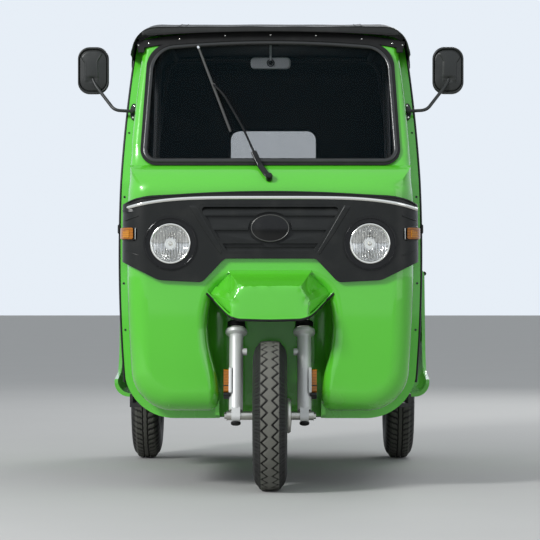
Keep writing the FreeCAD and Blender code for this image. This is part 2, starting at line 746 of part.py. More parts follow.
def rim(centre, hub_in, hub_out, bore):
    """Pressed rim with a dished disc and a hub; in and out are the hub's ends along X."""
    flange = RIM_HALF_WIDTH
    barrel = [
        (-flange, BEAD_R - 8), (-flange, BEAD_R - FREE), (flange, BEAD_R - FREE), (flange, BEAD_R - 8),
        (28, BEAD_R - 8), (22, BEAD_R - 25), (-22, BEAD_R - 25), (-28, BEAD_R - 8),
    ]
    disc = [(2, 40), (12, 40), (20, 90), (6, BEAD_R - 22), (-4, BEAD_R - 22), (10, 90)]
    hub = [(hub_in, bore), (hub_in, 60), (6, 60), (hub_out, 34), (hub_out, bore)]
    solid = turned(barrel, centre, V(1, 0, 0)).fuse(turned(disc, centre, V(1, 0, 0)))
    return solid.fuse(turned(hub, centre, V(1, 0, 0)))


def wheels():
    """All three wheels; the rear ones are mirror images."""
    front = V(0, 0, TYRE_R)
    rear = V(REAR_TRACK / 2, WHEELBASE, TYRE_R)
    hub_half = 60
    keep("front_tyre", tyre(front, TYRE_HALF_WIDTH))
    keep("front_rim", rim(front, -hub_half, hub_half, AXLE_R + FREE))
    sides = {
        "rear_tyre": both_sides(tyre(rear, TYRE_HALF_WIDTH)),
        "rear_rim": both_sides(rim(rear, -50, 40, AXLE_R + 4 + FREE)),
    }
    for name, (right, left) in sides.items():
        keep(name + "_right", right)
        keep(name + "_left", left)


# Steering
def steering_stem():
    """Stem through the steering head, the lower yoke and the two upper fork tubes."""
    stem = Part.makeCylinder(STEM_R, BAR_ALONG - YOKE_LOW, V(0, 0, YOKE_LOW), V(0, 0, 1))
    plan = [
        (-FORK_HALF - 38, -FORK_OFFSET - 34, 30), (FORK_HALF + 38, -FORK_OFFSET - 34, 30),
        (FORK_HALF + 38, -FORK_OFFSET + 34, 30), (40, 40, 30), (-40, 40, 30),
        (-FORK_HALF - 38, -FORK_OFFSET + 34, 30),
    ]
    solid = stem.fuse(prism_z(plan, YOKE_LOW, YOKE_LOW + YOKE_THICK))
    for x in (-FORK_HALF, FORK_HALF):
        foot = FORK_LEG_TOP + 34
        tube = Part.makeCylinder(FORK_TUBE_R, YOKE_LOW - foot, V(x, -FORK_OFFSET, foot), V(0, 0, 1))
        solid = solid.fuse(tube)
    return leaned(solid)


def fork_leg():
    """Right lower leg, with its axle lug and the boss on its inner side."""
    leg = Part.makeCylinder(FORK_LEG_R, FORK_LEG_TOP - 20, V(FORK_HALF, -FORK_OFFSET, 20), V(0, 0, 1))
    lug = prism_x(
        [
            (-FORK_OFFSET - 26, -28, 20), (-FORK_OFFSET + 26, -28, 20),
            (-FORK_OFFSET + 26, 30, 10), (-FORK_OFFSET - 26, 30, 10),
        ],
        FORK_HALF - 16, FORK_HALF + 16,
    )
    boss = rod(V(FORK_HALF - 40, -FORK_OFFSET, 249), V(FORK_HALF, -FORK_OFFSET, 249), 13)
    bore = rod(V(0, -FORK_OFFSET, 0), V(300, -FORK_OFFSET, 0), AXLE_R)
    return leaned(leg.fuse(lug).fuse(boss).cut(bore))


def fork_collar():
    """Ribbed dust cap between the lower leg and the upper tube."""
    foot = FORK_LEG_TOP
    groove = FORK_COLLAR_R - 8
    profile = [
        (0, 0), (0, FORK_COLLAR_R), (14, FORK_COLLAR_R), (14, groove), (22, groove),
        (22, FORK_COLLAR_R - 3), (FORK_COLLAR_HIGH, FORK_COLLAR_R - 8), (FORK_COLLAR_HIGH, 0),
    ]
    cap = turned([(a + foot, r) for a, r in profile], V(FORK_HALF, -FORK_OFFSET, 0), V(0, 0, 1))
    tube = Part.makeCylinder(FORK_TUBE_R, 200, V(FORK_HALF, -FORK_OFFSET, foot + 34), V(0, 0, 1))
    return leaned(cap.cut(tube))


def fork_reflector():
    """Amber side reflector on a plate that stands off the lower leg."""
    lens = prism_x(
        [
            (-FORK_OFFSET - 22, 85, 8), (-FORK_OFFSET + 22, 85, 8),
            (-FORK_OFFSET + 22, 176, 8), (-FORK_OFFSET - 22, 176, 8),
        ],
        FORK_HALF + FORK_LEG_R, FORK_HALF + FORK_LEG_R + 20,
    )
    return leaned(lens)


def front_axle():
    """Spindle with nuts, spacers beside the hub and the fixed brake plate."""
    at = V(0, 0, TYRE_R)
    spindle = rod(V(-167, 0, TYRE_R), V(167, 0, TYRE_R), AXLE_R)
    solid = spindle
    gap = 2.0
    for side in (-1, 1):
        inner = 60 + gap
        spacer = rod(V(side * inner, 0, TYRE_R), V(side * (FORK_HALF - 16), 0, TYRE_R), 16)
        nut = rod(V(side * (FORK_HALF + 16), 0, TYRE_R), V(side * (FORK_HALF + 32), 0, TYRE_R), 17)
        solid = solid.fuse(spacer).fuse(nut)
    plate = turned([(62, 0), (62, 62), (68, 66), (76, 60), (80, 20), (80, 0)], at, V(1, 0, 0))
    return solid.fuse(plate)


def handlebar():
    """Bar with a clamp on the stem and a rise to each grip."""
    low = BAR_ALONG + 14
    high = BAR_ALONG + 20
    half = [V(BAR_HALF, 0, high), V(120, 0, high), V(60, 0, low)]
    route = [V(-p.x, 0, p.z) for p in half] + half[::-1]
    bar = bent_rod(route, 11, 60)
    clamp = prism_y(
        [(-70, BAR_ALONG, 12), (70, BAR_ALONG, 12), (55, BAR_ALONG + 36, 12), (-55, BAR_ALONG + 36, 12)],
        -34, 34,
    )
    return leaned(bar.fuse(clamp))


def handlebar_grip():
    """Rubber sleeve at the right end of the bar."""
    z = BAR_ALONG + 20
    profile = [(BAR_HALF - 120, 11), (BAR_HALF - 120, 20), (BAR_HALF - 112, 17), (BAR_HALF + 6, 17)]
    profile += [(BAR_HALF + 6, 0), (BAR_HALF, 0), (BAR_HALF, 11)]
    return leaned(turned(profile, V(0, 0, z), V(1, 0, 0)))


def steering():
    """Everything that turns with the handlebar, apart from the wheel."""
    keep("steering_stem", steering_stem())
    keep("fork_legs", *both_sides(fork_leg()))
    keep("fork_collars", *both_sides(fork_collar()))
    keep("fork_reflectors", *both_sides(fork_reflector()))
    keep("front_axle", front_axle())
    keep("handlebar", handlebar())
    keep("handlebar_grips", *both_sides(handlebar_grip()))


# Frame and floor
def chassis_frame():
    """Two rails with cross members, the steering head and its down tube."""
    front = WELL_BACK + 10
    rail_in = RAIL_X - RAIL_WIDE / 2
    rail_out = RAIL_X + RAIL_WIDE / 2
    low = FLOOR_Z - RAIL_DEEP
    last = ENGINE_FRONT - 5
    solid = block(-rail_out, rail_out, last - 30, last, low, FLOOR_Z)
    for rail in both_sides(block(rail_in, rail_out, front, last, low, FLOOR_Z)):
        solid = solid.fuse(rail)
    for y in (front, BODY_FRONT - 50, WHEELBASE - 360):
        solid = solid.fuse(block(-rail_out, rail_out, y, y + 40, low, FLOOR_Z))
    cradle_in = ENGINE_HALF + 20
    cradle_out = cradle_in + 40
    cradle_low = TYRE_R + SHAFT_BOOT_R + 9
    for side in both_sides(block(cradle_in, cradle_out, last - 18, last, low, cradle_low + 40)):
        solid = solid.fuse(side)
    rail = block(cradle_in, cradle_out, last - 18, CRADLE_END, cradle_low, cradle_low + 40)
    for side in both_sides(rail):
        solid = solid.fuse(side)
    last_bar = block(-cradle_out, cradle_out, CRADLE_END - 40, CRADLE_END, cradle_low, cradle_low + 40)
    solid = solid.fuse(last_bar)
    for y in (ENGINE_FRONT + 60, ENGINE_FRONT + 270):
        for arm in both_sides(block(ENGINE_HALF, cradle_in, y, y + 40, cradle_low + 5, cradle_low + 35)):
            solid = solid.fuse(arm)
    head = Part.makeCylinder(HEAD_R, HEAD_TOP - HEAD_LOW, V(0, 0, HEAD_LOW), V(0, 0, 1))
    head_bore = Part.makeCylinder(STEM_R + FREE, HEAD_TOP, V(0, 0, HEAD_LOW - 5), V(0, 0, 1))
    down = down_tube(22).cut(block(-60, 60, 0, 600, 0, low + 22))
    return solid.fuse(leaned(head)).fuse(down).cut(leaned(head_bore))


def down_tube(radius):
    """Tube from the steering head down behind the wheel well to the first cross member."""
    up = V(0, math.sin(math.radians(RAKE)), math.cos(math.radians(RAKE)))
    elbow = steering_origin() + up * 600
    foot = V(0, WELL_BACK + 42, FLOOR_Z - RAIL_DEEP + 20)
    return bent_rod([elbow, V(0, WELL_BACK + 60, WELL_TOP + WELL_WALL + 26), foot], radius, 60)


def floor_pan():
    """Cabin floor with turned-up edges, from the cowl's flange to the rear body."""
    front = FLANGE_Y + FLANGE_THICK / 2
    pan = block(-FLOOR_HALF, FLOOR_HALF, front, BODY_FRONT, FLOOR_Z, FLOOR_Z + FLOOR_THICK)
    for edge in both_sides(block(FLOOR_HALF - 12, FLOOR_HALF, front, BODY_FRONT, FLOOR_Z, FLOOR_Z + 50)):
        pan = pan.fuse(edge)
    return pan.cut(well_form(WELL_WALL, NOSE_Y)).cut(down_tube(24))


# Rear body
def body_outline(inset, y0, y1):
    """The rear body seen from the front, as a solid between two stations."""
    half = BODY_HALF_WIDTH - inset
    corners = [
        (-half, FLOOR_Z + inset, 60 - inset / 2), (half, FLOOR_Z + inset, 60 - inset / 2),
        (half, BELT_Z - inset, 40 - inset / 2), (-half, BELT_Z - inset, 40 - inset / 2),
    ]
    return prism_y(corners, y0, y1)


def body_plan(inset):
    """The rear body seen from above, with round rear corners."""
    half = BODY_HALF_WIDTH - inset
    rear = BODY_REAR - inset
    corners = [
        (-half, BODY_FRONT - 10, 0), (half, BODY_FRONT - 10, 0), (half, rear, 110 - inset),
        (-half, rear, 110 - inset),
    ]
    return prism_z(corners, 0, ROOF_TOP)


def body_side(inset):
    """The rear body seen from the side, with its swept front edge."""
    rear = BODY_REAR - inset
    low = FLOOR_Z + inset
    corners = [
        (BODY_FRONT, low, 0), (BODY_FRONT, SILL_Z, 20), (BULKHEAD_Y - 500, SILL_Z + 28, 160),
        (BULKHEAD_Y - 400, BELT_Z, 70),
        (rear, BELT_Z, 30), (rear, low, 30),
    ]
    return prism_x(corners, -BODY_HALF_WIDTH - 5, BODY_HALF_WIDTH + 5)


def rear_body():
    """Rear tub: side panels, sills, bulkhead, rear deck, wheel houses and the lid's opening."""
    outer = body_outline(0, BODY_FRONT, BODY_REAR).common(body_plan(0)).common(body_side(0))
    inner = body_outline(BODY_WALL, BODY_FRONT - 5, BODY_REAR).common(body_plan(BODY_WALL))
    cabin = inner.common(block(-FAR, FAR, 0, BULKHEAD_Y, 0, FAR))
    open_top = body_outline(BODY_WALL, BODY_FRONT - 5, BULKHEAD_Y)
    open_top = open_top.common(block(-FAR, FAR, 0, FAR, SILL_Z + 28, FAR))
    open_top.translate(V(0, 0, 100))
    bay = inner.common(block(-FAR, FAR, BULKHEAD_Y + BODY_WALL, FAR, 0, FAR))
    solid = outer.cut(cabin).cut(open_top).cut(bay)
    axle = V(HOUSE_IN_X, WHEELBASE, TYRE_R)
    wide = BODY_HALF_WIDTH - HOUSE_IN_X
    house = Part.makeCylinder(ARCH_R + 10, wide - BODY_WALL + 12, axle - V(10, 0, 0), V(1, 0, 0))
    house = house.cut(block(0, FAR, 0, FAR, 0, FLOOR_Z))
    for part in both_sides(house):
        solid = solid.fuse(part.common(outer))
    for part in both_sides(Part.makeCylinder(ARCH_R, wide + 20, axle, V(1, 0, 0))):
        solid = solid.cut(part)
    open_half = HOUSE_IN_X - 10
    bay_floor = block(-open_half, open_half, ENGINE_FRONT - 30, BODY_REAR - 40, 0, FLOOR_Z + BODY_WALL + 1)
    engine_room = block(
        -ENGINE_HALF - 64, ENGINE_HALF + 64, ENGINE_FRONT - 20, ENGINE_FRONT + ENGINE_LONG + 20, 0,
        ENGINE_HIGH + 20,
    )
    arm_room = block(-open_half, open_half, BULKHEAD_Y - 5, BULKHEAD_Y + 20, 0, FLOOR_Z + 40)
    lid_hole = block(-LID_HALF, LID_HALF, BODY_REAR - 60, BODY_REAR + 20, LID_LOW, LID_TOP)
    solid = solid.cut(bay_floor).cut(engine_room).cut(arm_room).cut(lid_hole)
    for x in HINGE_XS:
        solid = solid.fuse(hinge_knuckle(x - 32, x - 11, True)).fuse(hinge_knuckle(x + 11, x + 32, True))
        solid = solid.fuse(rod(hinge_point(x - 32), hinge_point(x + 32), HINGE_PIN_R))
    return solid


def hinge_point(x):
    """Point of the lid's hinge axis."""
    return V(x, BODY_REAR + HINGE_R + 2, LID_TOP)


def hinge_knuckle(x0, x1, above):
    """Knuckle round the hinge axis with its leaf, on the panel above the lid or on the lid."""
    centre = hinge_point(x0)
    knuckle = rod(centre, hinge_point(x1), HINGE_R)
    if above:
        leaf = block(x0, x1, BODY_REAR, BODY_REAR + 4, LID_TOP, LID_TOP + 24)
        neck = block(x0, x1, BODY_REAR, centre.y, LID_TOP, LID_TOP + HINGE_R)
    else:
        leaf = block(x0, x1, BODY_REAR, BODY_REAR + 4, LID_TOP - 30, LID_TOP - 2)
        neck = block(x0, x1, BODY_REAR, centre.y, LID_TOP - HINGE_R, LID_TOP - 2)
    return knuckle.fuse(leaf).fuse(neck)


def engine_lid():
    """Lid in the rear panel, hinged along its top edge, with louvres."""
    gap = LID_GAP
    y0 = BODY_REAR - BODY_WALL
    corners = [
        (-LID_HALF + gap, LID_LOW + gap, 20), (LID_HALF - gap, LID_LOW + gap, 20),
        (LID_HALF - gap, LID_TOP - gap, 20), (-LID_HALF + gap, LID_TOP - gap, 20),
    ]
    lid = prism_y(corners, y0, BODY_REAR)
    count = 6
    pitch = 32
    for i in range(count):
        z = LID_LOW + 70 + i * pitch
        slot = [
            (y0 - 5, z, 0), (BODY_REAR + 5, z - 8, 0), (BODY_REAR + 5, z + 6, 0), (y0 - 5, z + 14, 0),
        ]
        louvre = prism_x(slot, -LID_HALF + 90, LID_HALF - 90)
        lid = lid.cut(louvre)
    for x in HINGE_XS:
        bore = rod(hinge_point(x - 12), hinge_point(x + 12), HINGE_PIN_R + FREE)
        lid = lid.fuse(hinge_knuckle(x - 10, x + 10, False)).cut(bore)
    return lid


def rear_bumper():
    """Pressed bar across the rear, on two arms from the rails."""
    rear = WHEELBASE + REAR_OVERHANG
    corners = [
        (-600, rear - 32, 0), (-600, rear, 30), (600, rear, 30), (600, rear - 32, 0),
    ]
    bar = prism_z(corners, 330, 400)
    for arm in both_sides(block(RAIL_X - 20, RAIL_X + 20, BODY_REAR, rear - 30, 340, 390)):
        bar = bar.fuse(arm)
    for x in (-TOW_SPACING / 2, TOW_SPACING / 2):
        bar = bar.cut(rod(V(x, rear - 40, 365), V(x, rear + 10, 365), TOW_HOLE_R))
    return bar


def tail_lamp():
    """Right rear lamp on the rear panel."""
    corners = [(470, 640, 14), (535, 640, 14), (535, 800, 14), (470, 800, 14)]
    return prism_y(corners, BODY_REAR, BODY_REAR + 24)


# Seats
def seats():
    """Driver's single seat and the passengers' bench, each on its own box."""
    driver_front = HOOP_Y - 415
    driver_back = HOOP_Y - 35
    driver_box = prism_z(
        [
            (-230, driver_front, 40), (230, driver_front, 40), (230, driver_back, 40),
            (-230, driver_back, 40),
        ],
        FLOOR_Z + FLOOR_THICK, DRIVER_DECK_Z,
    )
    bench_low = FLOOR_Z + BODY_WALL
    bench_front = BULKHEAD_Y - 500
    bench = block(-HOUSE_IN_X + 14, HOUSE_IN_X - 14, bench_front, ENGINE_FRONT - 32, bench_low, SEAT_DECK_Z)
    top = block(-600, 600, bench_front, BULKHEAD_Y - 1, SEAT_DECK_Z, SEAT_DECK_Z + 14)
    bench = bench.fuse(top)
    keep("seat_bases", seat_shell(driver_box, FLOOR_Z), seat_shell(bench, FLOOR_Z))
    pad_front = driver_front - 10
    pad_back = driver_back - 60
    cushion = prism_z(
        [(-240, pad_front, 60), (240, pad_front, 60), (240, pad_back, 60), (-240, pad_back, 60)],
        DRIVER_DECK_Z + FREE, DRIVER_DECK_Z + 100,
    )
    back_y = HOOP_Y - TUBE_R - FREE
    back_outline = [(-240, 760, 60), (240, 760, 60), (220, 1150, 80), (-220, 1150, 80)]
    back = prism_y(back_outline, back_y - 70, back_y)
    keep("driver_seat_pads", cushion, back)
    pad = prism_z(
        [(-600, bench_front - 10, 60), (600, bench_front - 10, 60), (600, BULKHEAD_Y - 105, 30),
         (-600, BULKHEAD_Y - 105, 30)],
        SEAT_DECK_Z + 14 + FREE, SEAT_DECK_Z + 134,
    )
    rest = prism_y([(-600, 775, 40), (600, 775, 40), (560, 1290, 80), (-560, 1290, 80)],
                   BULKHEAD_Y - 100, BULKHEAD_Y - FREE)
    keep("passenger_seat_pads", pad, rest)


def seat_shell(solid, low):
    """Seat box of plain sheet: the solid hollowed from below, up to its deck."""
    box = solid.BoundBox
    wall = SEAT_SHEET
    hollow = block(
        box.XMin + wall, box.XMax - wall, box.YMin + wall, box.YMax - wall, low, box.ZMax - wall,
    )
    return solid.cut(hollow.common(solid))


# Roof
def canopy_outline(inset, y0, y1):
    """The canopy seen from the front: sides that lean in and a flat, round-cornered top."""
    low_half = BODY_HALF_WIDTH - inset
    flare = (BODY_HALF_WIDTH - CANOPY_EAVE_HALF) / (CANOPY_EAVE_Z - BELT_Z)
    skirt = 60
    corners = [
        (-low_half - skirt * flare, BELT_Z - skirt, 0), (low_half + skirt * flare, BELT_Z - skirt, 0),
        (CANOPY_EAVE_HALF - inset, CANOPY_EAVE_Z, 0),
        (CANOPY_TOP_HALF - inset, ROOF_TOP + 4 - inset, CANOPY_CORNER_R - inset / 2),
        (-CANOPY_TOP_HALF + inset, ROOF_TOP + 4 - inset, CANOPY_CORNER_R - inset / 2),
        (-CANOPY_EAVE_HALF + inset, CANOPY_EAVE_Z, 0),
    ]
    return prism_y(corners, y0, y1)


def canopy_side(inset):
    """The canopy seen from the side: low at the lip, level, then round at the rear."""
    corners = [
        (CANOPY_FRONT - inset, BELT_Z - 100, 0),
        (CANOPY_FRONT - inset, CANOPY_LIP_Z - inset, 0),
        (CANOPY_FRONT + 2, CANOPY_LIP_Z - inset, 0),
        (560, ROOF_TOP - inset, 400),
        (BODY_REAR - 60 - inset, ROOF_TOP - inset, 120 - inset),
        (BODY_REAR - inset, BELT_Z - 100, 0),
    ]
    return prism_x(corners, -BODY_HALF_WIDTH - 100, BODY_HALF_WIDTH + 100)


def canopy_lip():
    """Front edge of the soft top, hanging down to an arched hem."""
    sheet = canopy_outline(0, CANOPY_FRONT, CANOPY_FRONT + CANOPY_WALL).common(canopy_side(0))
    centre = V(0, CANOPY_FRONT - 10, CANOPY_LIP_LOW - CANOPY_LIP_R)
    return sheet.cut(Part.makeCylinder(CANOPY_LIP_R, CANOPY_WALL + 20, centre, V(0, 1, 0)))


def canopy():
    """Soft top: roof, side valances, rear quarters and rear curtain, open at both doorways."""
    outer = canopy_outline(0, CANOPY_FRONT - 50, BODY_REAR + 50).common(canopy_side(0))
    inner = canopy_outline(CANOPY_WALL, CANOPY_FRONT - 60, BODY_REAR + 60).common(canopy_side(CANOPY_WALL))
    shell = outer.cut(inner)
    doorway = prism_x(
        [
            (CANOPY_FRONT - 20, BELT_Z - 20, 0), (CANOPY_FRONT - 20, VALANCE_Z + 30, 0),
            (500, VALANCE_Z, 60), (QUARTER_Y, VALANCE_Z, 90), (QUARTER_Y, BELT_Z - 20, 0),
        ],
        -700, 700,
    )
    under = block(-FAR, FAR, 0, FAR, BELT_Z - 200, BELT_Z + FREE)
    return shell.cut(doorway).cut(rear_light()).cut(under).fuse(canopy_lip())


def rear_light():
    """Opening of the rear window, through the rear curtain."""
    half = REAR_LIGHT_HALF
    corners = [
        (-half, REAR_LIGHT_LOW, 40), (half, REAR_LIGHT_LOW, 40), (half, REAR_LIGHT_HIGH, 40),
        (-half, REAR_LIGHT_HIGH, 40),
    ]
    return prism_y(corners, BODY_REAR - 200, BODY_REAR + 50)


def rear_window():
    """Clear sheet in the rear curtain."""
    sheet = canopy_side(4).cut(canopy_side(8))
    return rear_light().common(sheet)


def hoop(y, foot_half, foot_z):
    """Round tube hoop from the body up and across under the roof."""
    top = ROOF_TOP - CANOPY_WALL - FREE - TUBE_R
    half = CANOPY_TOP_HALF - CANOPY_WALL - TUBE_R - 12
    route = [V(-foot_half, y, foot_z), V(-half, y, top), V(half, y, top), V(foot_half, y, foot_z)]
    return bent_rod(route, TUBE_R, 80)


def roof_frame():
    """Tube frame under the canopy: two hoops, roof rails and the bar behind the driver."""
    top = ROOF_TOP - CANOPY_WALL - FREE - TUBE_R
    solid = hoop(HOOP_Y, 500, FLOOR_Z + FLOOR_THICK).fuse(hoop(BULKHEAD_Y + 14, 590, BELT_Z))
    header_z = COWL_TOP - 50
    for x in (-430, 430):
        route = [V(x, flange_y(header_z) + 6, header_z), V(x, 640, top), V(x, BULKHEAD_Y + 14, top)]
        rail = bent_rod(route, TUBE_R, 300)
        solid = solid.fuse(rail)
    for z in (900, 1120):
        solid = solid.fuse(rod(V(-485, HOOP_Y, z), V(485, HOOP_Y, z), TUBE_R))
    bar = rod(V(-560, BULKHEAD_Y + 14, 1150), V(560, BULKHEAD_Y + 14, 1150), TUBE_R)
    return solid.fuse(bar)


def visor_strip(cowl):
    """Rubber strip under the canopy's front edge, on the header of the windscreen."""
    middle = COWL_TOP - 50
    end = COWL_TOP - 76
    half = CANOPY_EAVE_HALF - CANOPY_WALL - 7
    low = [(-half, end, 0), (-300, middle, 0), (300, middle, 0), (half, end, 0)]
    corners = low + [(x, z + 33, 0) for x, z, _ in reversed(low)]
    high = COWL_TOP + 30
    foot = COWL_TOP - 104
    band = [
        (screen_y(foot, 8), foot, 0), (screen_y(high, 8), high, 0), (screen_y(high, 0), high, 0),
        (screen_y(foot, 0), foot, 0),
    ]
    return prism_y(corners, 100, 400).common(prism_x(band, -600, 600)).cut(cowl)


# Small parts on the front
def mirrors():
    """Outside mirror on its stalk and bracket, with its glass."""
    x = 676
    z = COWL_TOP - 166
    foot_z = z - 154
    foot_x = cowl_edge_x(foot_z)
    foot_y = flange_y(foot_z) - 44.5
    y = foot_y + 85
    outline = [
        (x - 58.5, z - 89, 45), (x + 58.5, z - 89, 45), (x + 58.5, z + 89, 45), (x - 58.5, z + 89, 45),
    ]
    head = prism_y(outline, y - 20, y + 8)
    rim_edges = [edge for edge in head.Edges if abs(edge.BoundBox.YMax - y + 20) < 0.01]
    head = head.makeChamfer(9, rim_edges)
    knee = V(x - 12, y - 20, z - 78)
    route = [V(foot_x + 4, foot_y, foot_z), V(foot_x + 49, foot_y, foot_z), knee, knee + V(0, 4, 60)]
    stalk = bent_rod(route, 6, 14)
    foot = [
        (foot_x - 13, foot_z - 20, 8), (foot_x + 15, foot_z - 20, 8),
        (foot_x + 15, foot_z + 20, 8), (foot_x - 13, foot_z + 20, 8),
    ]
    bracket = prism_y(foot, foot_y - 10, foot_y + 40)
    arm = stalk.fuse(bracket).fuse(head)
    face = [(x - 52, z - 82, 40), (x + 52, z - 82, 40), (x + 52, z + 82, 40), (x - 52, z + 82, 40)]
    glass = prism_y(face, y + 8, y + 11)
    return arm, glass


def interior_mirror():
    """Mirror inside the windscreen, on a short stalk from the header."""
    y = screen_y(SCREEN_TOP) + 65
    top = SCREEN_TOP - 69
    head = prism_y([(-76, top - 43, 14), (76, top - 43, 14), (76, top, 14), (-76, top, 14)], y - 10, y + 10)
    stalk = rod(V(0, y, top - 8), V(0, y, COWL_TOP - FLANGE_WIDTH - COWL_WALL + 10), 5)
    return head.fuse(stalk)


def wiper():
    """Wiper arm and blade laid on the windscreen, on a spindle in the cowl's shelf."""
    pivot = V(-4, 20, NOSE_SHELF_Z + 62)
    joint_x = -213
    joint_z = SCREEN_TOP - 184
    spindle = rod(pivot + V(0, 8, -6), pivot + V(0, -16, 12), 11)
    arm = rod(pivot + V(0, -12, 9), on_screen(joint_x, joint_z, 26), 4)
    blade = rod(on_screen(-273, SCREEN_TOP - 40, 12), on_screen(-147, SCREEN_TOP - 364, 12), 5)
    link = rod(on_screen(joint_x, joint_z, 26), on_screen(joint_x, joint_z, 8), 5)
    return spindle.fuse(arm).fuse(blade).fuse(link)


def on_screen(x, z, ahead):
    """Point in front of the windscreen plane, by its place seen from the front."""
    return V(x, screen_y(z, ahead), z)


def dashboard(cowl):
    """Inner panel behind the lamps, and the instrument pod under the windscreen's foot."""
    half = COWL_HALF - FLANGE_WIDTH - COWL_WALL - 2
    panel = block(-half, half, LAMP_DEPTH + 10, LAMP_DEPTH + 22, 640, NOSE_SHELF_Z - 110)
    panel = panel.cut(well_form(WELL_WALL + 2, NOSE_Y))
    low = NOSE_SHELF_Z + 20
    pod = prism_y([(-85, low, 14), (85, low, 14), (75, low + 66, 30), (-75, low + 66, 30)], NOSE_Y + 6, 215)
    return panel.cut(cowl).fuse(pod.common(cowl_cavity()))


# Engine and rear suspension
def engine_block():
    """Engine and gearbox as one plain block."""
    rear = ENGINE_FRONT + ENGINE_LONG
    return block(-ENGINE_HALF, ENGINE_HALF, ENGINE_FRONT, rear, ENGINE_LOW, ENGINE_HIGH)


def exhaust():
    """Silencer across the rear, with its pipe from the engine."""
    z = ENGINE_LOW + 45
    y = ENGINE_FRONT + ENGINE_LONG + 62
    can = rod(V(-180, y, z), V(220, y, z), 48)
    pipe = rod(V(100, y - 62, z), V(100, y, z), 17)
    tail = bent_rod([V(-180, y, z), V(-240, y, z), V(-240, y + 75, z - 10)], 15, 30)
    return can.fuse(pipe).fuse(tail)


def trailing_arm():
    """Right rear arm: pivot tube, arm and the stub that carries the wheel."""
    x = ARM_X
    pivot_z = FLOOR_Z - 30
    pivot = rod(V(RAIL_X + RAIL_WIDE / 2, ARM_PIVOT_Y, pivot_z), V(x + 30, ARM_PIVOT_Y, pivot_z), 26)
    arm = rod(V(x, ARM_PIVOT_Y, pivot_z), V(x, WHEELBASE, TYRE_R), 22)
    carrier = rod(V(x - 30, WHEELBASE, TYRE_R), V(x + 28, WHEELBASE, TYRE_R), 46)
    stub = rod(V(x, WHEELBASE, TYRE_R), V(REAR_TRACK / 2 + 46, WHEELBASE, TYRE_R), AXLE_R + 4)
    return pivot.fuse(arm).fuse(carrier).fuse(stub)


def half_shaft():
    """Right drive shaft with a rubber-booted joint at each end."""
    inner = ENGINE_HALF
    outer = ARM_X - 30
    boot = SHAFT_BOOT_R
    profile = [
        (inner, 0), (inner, boot), (inner + 30, boot), (inner + 60, 14), (outer - 60, 14),
        (outer - 30, boot), (outer, boot), (outer, 0),
    ]
    return turned(profile, V(0, WHEELBASE, TYRE_R), V(1, 0, 0))


def shock_absorber(arm):
    """Right rear damper with its coil's outer form, from the arm up to the seat's deck."""
    start = V(ARM_X - 12, WHEELBASE - 42, TYRE_R)
    end = V(ARM_X - 12, WHEELBASE - 42, SEAT_DECK_Z)
    way = (end - start).normalize()
    solid = rod(start, end, 12)
    solid = solid.fuse(rod(start + way * 84, start + way * 300, 34))
    return solid.cut(arm)


def main():
    """Build every node."""
    os.makedirs("parts", exist_ok=True)
    outer = cowl_body(0)
    skin = cowl_body(-BAND_PROUD)
    pressed = mouth_rolled(outer)
    cowl = front_cowl(pressed)
    keep("front_cowl", cowl)
    keep("wheel_arch", wheel_arch())
    keep("fork_cowl", fork_cowl(pressed))
    keep("grille_band", grille_band(skin.cut(outer)))
    keep("grille_insert", grille_insert())
    keep("headlamp_housings", *both_sides(headlamp_housing()))
    keep("headlamp_lenses", *both_sides(headlamp_lens()))
    keep("indicator_lamps", *both_sides(indicator_lamp(skin)))
    keep("windscreen_glass", windscreen_glass())
    gasket = windscreen_gasket(cowl)
    keep("windscreen_gasket", gasket)
    keep("visor_strip", visor_strip(cowl).cut(gasket))
    wheels()
    steering()
    keep("chassis_frame", chassis_frame())
    floor = floor_pan()
    tub = rear_body()
    keep("floor_pan", floor)
    middle = block(-SIDE_PANEL_X, SIDE_PANEL_X, 0, FAR, 0, FAR)
    keep("rear_body", tub.common(middle))
    keep("rear_side_panels", tub.cut(middle))
    keep("engine_lid", engine_lid())
    keep("rear_bumper", rear_bumper())
    keep("tail_lamps", *both_sides(tail_lamp()))
    seats()
    keep("canopy", canopy())
    keep("rear_window", rear_window())
    keep("roof_frame", roof_frame().cut(cowl).cut(tub).cut(floor))
    arm, glass = mirrors()
    keep("mirrors", *both_sides(arm.cut(cowl)))
    keep("mirror_glasses", *both_sides(glass))
    keep("interior_mirror", interior_mirror().cut(cowl))
    keep("wiper", wiper().cut(cowl))
    keep("dashboard", dashboard(cowl))
    keep("engine_block", engine_block())
    keep("exhaust", exhaust())
    rear_arm = trailing_arm()
    keep("trailing_arms", *both_sides(rear_arm))
    keep("half_shafts", *both_sides(half_shaft()))
    keep("shock_absorbers", *both_sides(shock_absorber(rear_arm)))


main()
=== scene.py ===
"""Looks of a green three-wheeled auto rickshaw, dressed round its packed construction.

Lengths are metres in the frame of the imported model: X to the right of someone who faces the
vehicle, Y from its front to its back, Z up from the ground. A shape's own sizes are written in
millimetres, with places behind the front axle, and spot and spots turn them into that frame.
"""
from __future__ import annotations

import json
import logging
import math
from collections.abc import Iterator
from contextlib import contextmanager
from dataclasses import dataclass, field
from enum import Enum

